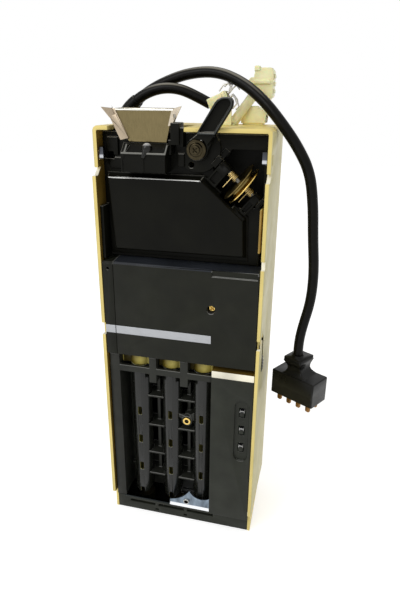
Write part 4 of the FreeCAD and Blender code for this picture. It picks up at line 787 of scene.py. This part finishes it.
class PlasticColours(bpy.types.PropertyGroup):
    """Colours of the pale plastics, the tubes' insides and the leads"""
    cream: colour_setting("Cream", "Yellowed cream of the housing's front", (242, 220, 136))
    # Greyer cream outside the side walls, a painted reflection.
    reflection_greyed_side: colour_setting("Worn side", "Greyer cream outside the side walls",
                              (214, 205, 152))
    # Painted shade on the left wall's inside, the rail's top and the front of the base's tray.
    shaded: colour_setting("Left wall", "Browned inside of the left wall", (104, 82, 30))
    # Painted light on the rail's front and the notches.
    bright: colour_setting("Bright cream", "Clean cream of the rail and notches",
                           (255, 250, 228))
    tube_inside: colour_setting("Tube insides", "Olive insides of the tubes", (168, 162, 94))
    # Painted shade inside the base and in the right wall's latch slot.
    base_inside: colour_setting("Base's inside", "Browned inside of the base", (30, 26, 14))
    # Painted shade on the rib inside the right wall.
    rib: colour_setting("Rib", "Browned rib inside the right wall", (172, 142, 78))
    # Lit and dark ends of the painted shade across each chute's bay.
    chute_lit: colour_setting("Chutes, lit", "Right of the coin chutes", (188, 174, 90))
    chute_dark: colour_setting("Chutes, dark", "Left of the coin chutes", (112, 98, 34))
    nylon: colour_setting("Nylon", "Aged nylon of the connectors", (255, 248, 196))
    jacket: colour_setting("Jacket", "Rubber of the two leads", (13, 12, 9))


class BlackPlastics(bpy.types.PropertyGroup):
    """Colours of the black mouldings, and the painted highlights on their up-facing edges"""
    upper: colour_setting("Acceptor", "Black of the acceptor and gate", (14, 14, 9))
    cover: colour_setting("Cover", "Black of the logic cover", (28, 29, 22))
    cassette: colour_setting("Cassette", "Black of the cassette", (40, 41, 36))
    panel: colour_setting("Panel", "Black of the button panel", (41, 43, 36))
    tube: colour_setting("Tubes", "Black of the coin tubes", (20, 21, 17))
    plug: colour_setting("Plug", "Black of the moulded plug", (11, 11, 8))
    rim: colour_setting("Rim", "Raised rim of the return lever", (50, 53, 51))
    # Greyish top of the logic cover, a painted reflection of the light above.
    roof: colour_setting("Cover's top", "Greyish top of the logic cover", (38, 41, 46))
    # Painted highlight on the acceptor's up-facing edges.
    acceptor_edge_highlight: colour_setting("Rubbed edges", "Acceptor edges worn lighter", (110, 108, 100))
    # Painted highlight on the up-facing edges of the cover, cassette, tubes and panel.
    worn: colour_setting("Worn edges", "Cover, cassette and panel edges worn lighter",
                         (118, 118, 114))
    # Painted highlight on the buttons' up-facing edges.
    caps: colour_setting("Button edges", "Button edges worn pale", (214, 214, 210))
    # Painted highlight on the gate's top bevel.
    lit: colour_setting("Pale edge", "Polished top edge of the gate", (238, 238, 234))


class MetalColours(bpy.types.PropertyGroup):
    """Colours of the bare metals"""
    foil: colour_setting("Foil", "Silver stripe", (170, 172, 175))
    zinc: colour_setting("Zinc", "Bright payout plate", (118, 130, 142))
    funnel: colour_setting("Funnel", "Bent sheet of the coin funnel", (122, 110, 78))
    steel: colour_setting("Steel", "Contacts, plunger, slides and steel screws",
                          (200, 198, 192))
    bronze: colour_setting("Bronze", "Dark plated lever screw and washer", (60, 54, 40))
    # Brass of the screws, and the painted highlight on the wheel's rim.
    brass: colour_setting("Brass", "Bright rim of the wheel and brass screws", (226, 194, 112))
    # Painted reflection on the funnel's wings.
    wing: colour_setting("Wings", "Lighter wings of the coin funnel", (214, 202, 182))
    olive: colour_setting("Olive", "Tarnished faces of the wheel", (116, 102, 62))
    wire: colour_setting("Spring wire", "Springs of the gate", (204, 180, 122))
    blade: colour_setting("Blades", "Bronze blades of the plug", (132, 98, 60))
    # Painted reflection on the funnel's left flange.
    flange: colour_setting("Flange", "Left flange of the coin funnel", (172, 157, 136))
    shaft: colour_setting("Shaft", "Worn steel of the gate's shaft", (112, 110, 102))


class LeadSizes(bpy.types.PropertyGroup):
    """Sizes of the leads"""
    width: FloatProperty(name="Width", description="Diameter of both leads", unit="LENGTH",
                         default=0.0084, min=0.004, max=0.012)


class Lighting(bpy.types.PropertyGroup):
    """Light and floor of the stage"""
    sky: FloatProperty(name="Sky", description="Even light from all round",
                       default=0.62, min=0.0, max=1.0)
    key: FloatProperty(name="Key", description="Soft lamp above the left of the front",
                       unit="POWER", default=9.0, min=0.0)
    floor: FloatProperty(name="Floor", description="Width of the floor", unit="LENGTH",
                         default=6.0, min=1.0)


class CoinChanger(bpy.types.PropertyGroup):
    """All settings of the coin changer"""
    plastics: PointerProperty(type=PlasticColours, name="Plastics", description="Pale plastics")
    blacks: PointerProperty(type=BlackPlastics, name="Blacks", description="Black mouldings")
    metals: PointerProperty(type=MetalColours, name="Metals", description="Bare metals")
    leads: PointerProperty(type=LeadSizes, name="Leads", description="Sizes of the leads")
    light: PointerProperty(type=Lighting, name="Light", description="Studio light and floor")


# ---- the stage ----------------------------------------------------------------------------
def white_floor(width):
    """A square floor at the object's feet."""
    half = width / 2
    mesh = bpy.data.meshes.new("floor")
    mesh.from_pydata([(-half, -half, 0), (half, -half, 0), (half, half, 0),
                      (-half, half, 0)], [], [(0, 1, 2, 3)])
    floor = bpy.data.objects.new("floor", mesh)
    bpy.context.scene.collection.objects.link(floor)
    mesh.materials.append(floor_white())


def floor_white():
    """Matt white that keeps the shadow and reads as white to the camera and in gloss."""
    material = bpy.data.materials.new("floor_white")
    material.use_nodes = True
    tree = material.node_tree
    surface = tree.nodes["Principled BSDF"]
    surfaced(tree, surface, colour=(0.86, 0.86, 0.86, 1.0), roughness=1.0, gloss=0.0)
    surface.inputs["Emission Color"].default_value = (1.0, 1.0, 1.0, 1.0)
    glow = computed(tree, "MULTIPLY", seen_by(tree, "Is Camera Ray", "Is Glossy Ray"), 0.55)
    feed(tree, glow, surface.inputs["Emission Strength"])
    return material


def sky(scene, strength):
    """Even light at a plain level that the camera, gloss and glass see as white."""
    world = bpy.data.worlds.new("sky")
    scene.world = world
    world.use_nodes = True
    tree = world.node_tree
    background = tree.nodes["Background"]
    background.inputs["Color"].default_value = (1.0, 1.0, 1.0, 1.0)
    white = seen_by(tree, "Is Camera Ray", "Is Glossy Ray", "Is Transmission Ray")
    feed(tree, spread(tree, white, strength, 1.0, 0.0, 1.0), background.inputs["Strength"])


def lamp(name, place, target, size, power):
    """A round soft lamp that looks at a target."""
    light = bpy.data.lights.new(name, "AREA")
    light.energy = power
    light.shape = "DISK"
    light.size = size
    aim = bpy.data.objects.new(name, light)
    aim.location = place
    aim.rotation_euler = (Vector(target) - Vector(place)).to_track_quat("-Z", "Y").to_euler()
    bpy.context.scene.collection.objects.link(aim)


def front_camera(scene):
    """The camera, in front of the object, to its right and looking down."""
    camera = bpy.data.objects.new("camera", bpy.data.cameras.new("camera"))
    camera.data.sensor_fit = "VERTICAL"
    camera.data.sensor_height = CAMERA_SENSOR
    camera.data.lens = CAMERA_LENS
    yaw, pitch, roll = CAMERA_TURN
    turn = (Matrix.Rotation(yaw, 3, "Z") @ Matrix.Rotation(pitch, 3, "X")
            @ Matrix.Rotation(roll, 3, "Y"))
    right, ahead, up = turn.col
    facing_ahead = Matrix((right, up, -ahead)).transposed().to_4x4()
    camera.matrix_world = Matrix.Translation(CAMERA_PLACE) @ facing_ahead
    scene.collection.objects.link(camera)
    scene.camera = camera


# ---- operators ----------------------------------------------------------------------------
class CHANGER_OT_stage(bpy.types.Operator):
    """White floor, a soft lamp and the camera"""
    bl_idname = "changer.stage"
    bl_label = "Stage"

    def execute(self, context):
        scene, light = context.scene, context.scene.coin_changer.light
        scene.view_settings.view_transform = "Standard"
        white_floor(light.floor)
        sky(scene, light.sky)
        lamp("key", place=(-0.75, -1.1, 1.25), target=(0.0, 0.0, 0.2), size=0.9,
             power=light.key)
        front_camera(scene)
        return {"FINISHED"}


class CHANGER_OT_leads(bpy.types.Operator):
    """Power lead and accessory lead"""
    bl_idname = "changer.leads"
    bl_label = "Leads"

    def execute(self, context):
        width = context.scene.coin_changer.leads.width
        glands = dressed("lead_glands", 0.0004, "lead_rubber")
        plug = dressed("plug_body", 0, "plug_black")
        blades = dressed("plug_blades", 0.0003, "blade_bronze")
        boot = dressed("lead_boot", 0.0004, "aged_nylon")
        contacts = dressed("bare_contacts", 0.0001, "bright_steel")
        for node in ("lead_clamp", "harness_sleeve"):
            dressed(node, 0.0004, "aged_nylon")
        for node in ("upper_connector", "lower_connector"):
            dressed(node, 0.0006, "aged_nylon", segments=3)
        power = show("power_lead", lead_curve("power_lead", POWER_ROUTE, width), "root",
                     "cord_jacket", "power_cord")
        coat(power, "lead_rubber")
        accessory = show("accessory_cable", lead_curve("accessory_cable", ACCESSORY_ROUTE, width),
                         "root", "cord_jacket", "accessory_lead")
        coat(accessory, "lead_rubber")
        return {"FINISHED"}


class CHANGER_OT_housing(bpy.types.Operator):
    """Cream housing, base and shelf, and their screws"""
    bl_idname = "changer.housing"
    bl_label = "Housing"

    def execute(self, context):
        dressed("rear_housing", 0.0005, "yellowed_cream", "shaded_cream", "lit_cream",
                "base_inside", "rib_cream", rise=None, pick=housing_finish)
        dressed("base_frame", 0.0004, "yellowed_cream", "base_inside", "shaded_cream", rise=None,
                pick=base_finish)
        dressed("coin_shelf", 0.0003, "chute_cream", "shaded_cream", "lit_cream", rise=None,
                pick=shelf_finish)
        dressed("base_plate", 0.0004, "panel_black")
        dressed("housing_screws", 0.0002, "bright_steel")
        return {"FINISHED"}


class CHANGER_OT_acceptor(bpy.types.Operator):
    """Coin acceptor: plate, gate, wheel, lever, funnel and what is behind them"""
    bl_idname = "changer.acceptor"
    bl_label = "Acceptor"

    def execute(self, context):
        for node in ("acceptor_shell", "accept_flap"):
            coat(frame["nodes"][node], "upper_black")
        dressed("acceptor_body", 0.0004, "upper_black", "upper_edge")
        dressed("chute_socket", 0.0004, "socket_black", "upper_edge")
        dressed("chute_pin", 0.0002, "pin_black")
        dressed("gate_cover", 0.0004, "upper_black", "lit_edge", "upper_edge", rise=0.8,
                pick=gate_finish)
        dressed("return_lever", 0.0005, "upper_black", "lever_rim", "upper_edge",
                pick=lever_finish)
        dressed("funnel", 0.0002, "funnel_sheet", "funnel_wing", "funnel_flange", "funnel_hem",
                rise=None, pick=funnel_finish)
        dressed("grooved_wheel", 0.0002, "olive_brass", "bright_brass", rise=None,
                pick=wheel_finish)
        gate_springs()
        for node in ("lever_washer", "lever_screw"):
            dressed(node, 0.0003, "dark_bronze")
        dressed("gate_shaft", 0.0002, "worn_steel")
        dressed("solenoid_plunger", 0.0002, "bright_steel")
        for node in ("side_latch_left", "side_latch_right"):
            dressed(node, 0.0002, "latch_metal")
        coat(frame["nodes"]["lever_spring"], "bright_steel")
        dressed("sensor_coils", 0.0004, "component_black")
        dressed("gate_solenoid", 0.0003, "plated_frame")
        across = Matrix.Translation(GATE_WINDING_START) @ Matrix.Rotation(math.pi / 2, 4, "Y")
        winding = wound("gate_solenoid_winding", "copper_wire", across, radius=0.0060,
                        **WINDING)
        show("gate_solenoid_winding", winding, "root", "solenoid")
        return {"FINISHED"}


def gate_springs():
    """Two wound springs on the gate's shaft, one on each side of the wheel."""
    shaft = Matrix(((0, math.sin(SHAFT_TILT), math.cos(SHAFT_TILT)), (1, 0, 0),
                    (0, math.cos(SHAFT_TILT), -math.sin(SHAFT_TILT)))).to_4x4()
    on_shaft = Matrix.Translation(HINGE) @ shaft
    springs = [wound("gate_spring", "gold_wire",
                     on_shaft @ Matrix.Translation((0, 0, start)), **GATE_SPRING)
               for start in GATE_SPRING_STARTS]
    show("gate_springs_wound", joined("gate_springs_wound", springs), "gate", "steel",
         "gate_springs")


class CHANGER_OT_logic_unit(bpy.types.Operator):
    """Logic cover, stripe, board and transformer"""
    bl_idname = "changer.logic_unit"
    bl_label = "Logic unit"

    def execute(self, context):
        dressed("logic_cover", 0.0004, "cover_black", "cover_roof", "cover_edge",
                pick=cover_finish)
        dressed("cover_side_strip", 0.0003, "cover_black", "cover_edge")
        dressed("silver_stripe", 0.0001, "silver_foil")
        dressed("cover_screw", 0.0003, "bright_brass")
        dressed("control_board", 0.0002, "green_board", "component_black", "plated_frame",
                "component_black", pick=board_finish)
        dressed("power_transformer", 0.0003, "plated_frame")
        return {"FINISHED"}


class CHANGER_OT_cassette(bpy.types.Operator):
    """Cassette, coin tubes, zinc plate and latch"""
    bl_idname = "changer.cassette"
    bl_label = "Cassette"

    def execute(self, context):
        for node in ("cassette_frame", "cassette_back", "tube_clamp", "cassette_latch"):
            dressed(node, 0.0003, "cassette_black", "cover_edge")
        for number, middle in enumerate(TUBE_MIDDLES, 1):
            dressed(f"coin_tube_{number}", 0.0002, "tube_black", "tube_inside", "cover_edge",
                    pick=tube_finish(middle))
        dressed("payout_plate", 0.0001, "zinc")
        dressed("payout_plate_screw", 0.0003, "bright_steel")
        dressed("cassette_screw", 0.0002, "bright_brass", "dark_bronze", rise=None,
                pick=screw_finish)
        return {"FINISHED"}


class CHANGER_OT_panel(bpy.types.Operator):
    """Button panel, its buttons and the payout unit"""
    bl_idname = "changer.panel"
    bl_label = "Panel"

    def execute(self, context):
        dressed("control_panel", 0.0004, "panel_black", "cover_edge", rise=0.8)
        for number in (1, 2, 3):
            dressed(f"button_{number}", 0.0005, "panel_black", "component_black", "cap_top",
                    pick=button_finish)
        dressed("button_board", 0.0002, "green_board")
        for number in (1, 2, 3):
            dressed(f"payout_slide_{number}", 0.0002, "bright_steel")
        dressed("payout_solenoids", 0.0003, "plated_frame")
        backwards = Matrix.Rotation(-math.pi / 2, 4, "X")
        windings = [wound("payout_winding", "copper_wire",
                          Matrix.Translation(start) @ backwards, radius=0.0066, **WINDING)
                    for start in PAYOUT_WINDING_STARTS]
        show("payout_solenoid_windings", joined("payout_solenoid_windings", windings), "root",
             "solenoid")
        return {"FINISHED"}


class CHANGER_PT_pieces(bpy.types.Panel):
    """The pieces of the coin changer"""
    bl_idname = "CHANGER_PT_pieces"
    bl_label = "Coin changer"
    bl_space_type = "VIEW_3D"
    bl_region_type = "UI"
    bl_category = "Coin changer"

    def draw(self, context):
        for operator in OPERATORS:
            self.layout.operator(operator.bl_idname)
        settings = context.scene.coin_changer
        for group in (settings.plastics, settings.blacks, settings.metals, settings.leads,
                      settings.light):
            column = self.layout.column(align=True)
            for name in group.__annotations__:
                column.prop(group, name)


OPERATORS = (CHANGER_OT_stage, CHANGER_OT_leads, CHANGER_OT_housing, CHANGER_OT_acceptor,
             CHANGER_OT_logic_unit, CHANGER_OT_cassette, CHANGER_OT_panel)
GROUPS = (PlasticColours, BlackPlastics, MetalColours, LeadSizes, Lighting, CoinChanger)


def register():
    """Registers the settings, the operators and the panel."""
    for entry in GROUPS + OPERATORS + (CHANGER_PT_pieces,):
        bpy.utils.register_class(entry)
    bpy.types.Scene.coin_changer = PointerProperty(type=CoinChanger)


def unregister():
    """Takes everything that register added away again."""
    del bpy.types.Scene.coin_changer
    for entry in reversed(GROUPS + OPERATORS + (CHANGER_PT_pieces,)):
        bpy.utils.unregister_class(entry)


def main():
    """Builds every piece in order."""
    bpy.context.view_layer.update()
    register()
    for operator in OPERATORS:
        group, name = operator.bl_idname.split(".")
        getattr(getattr(bpy.ops, group), name)()


if __name__ == "__main__":
    main()
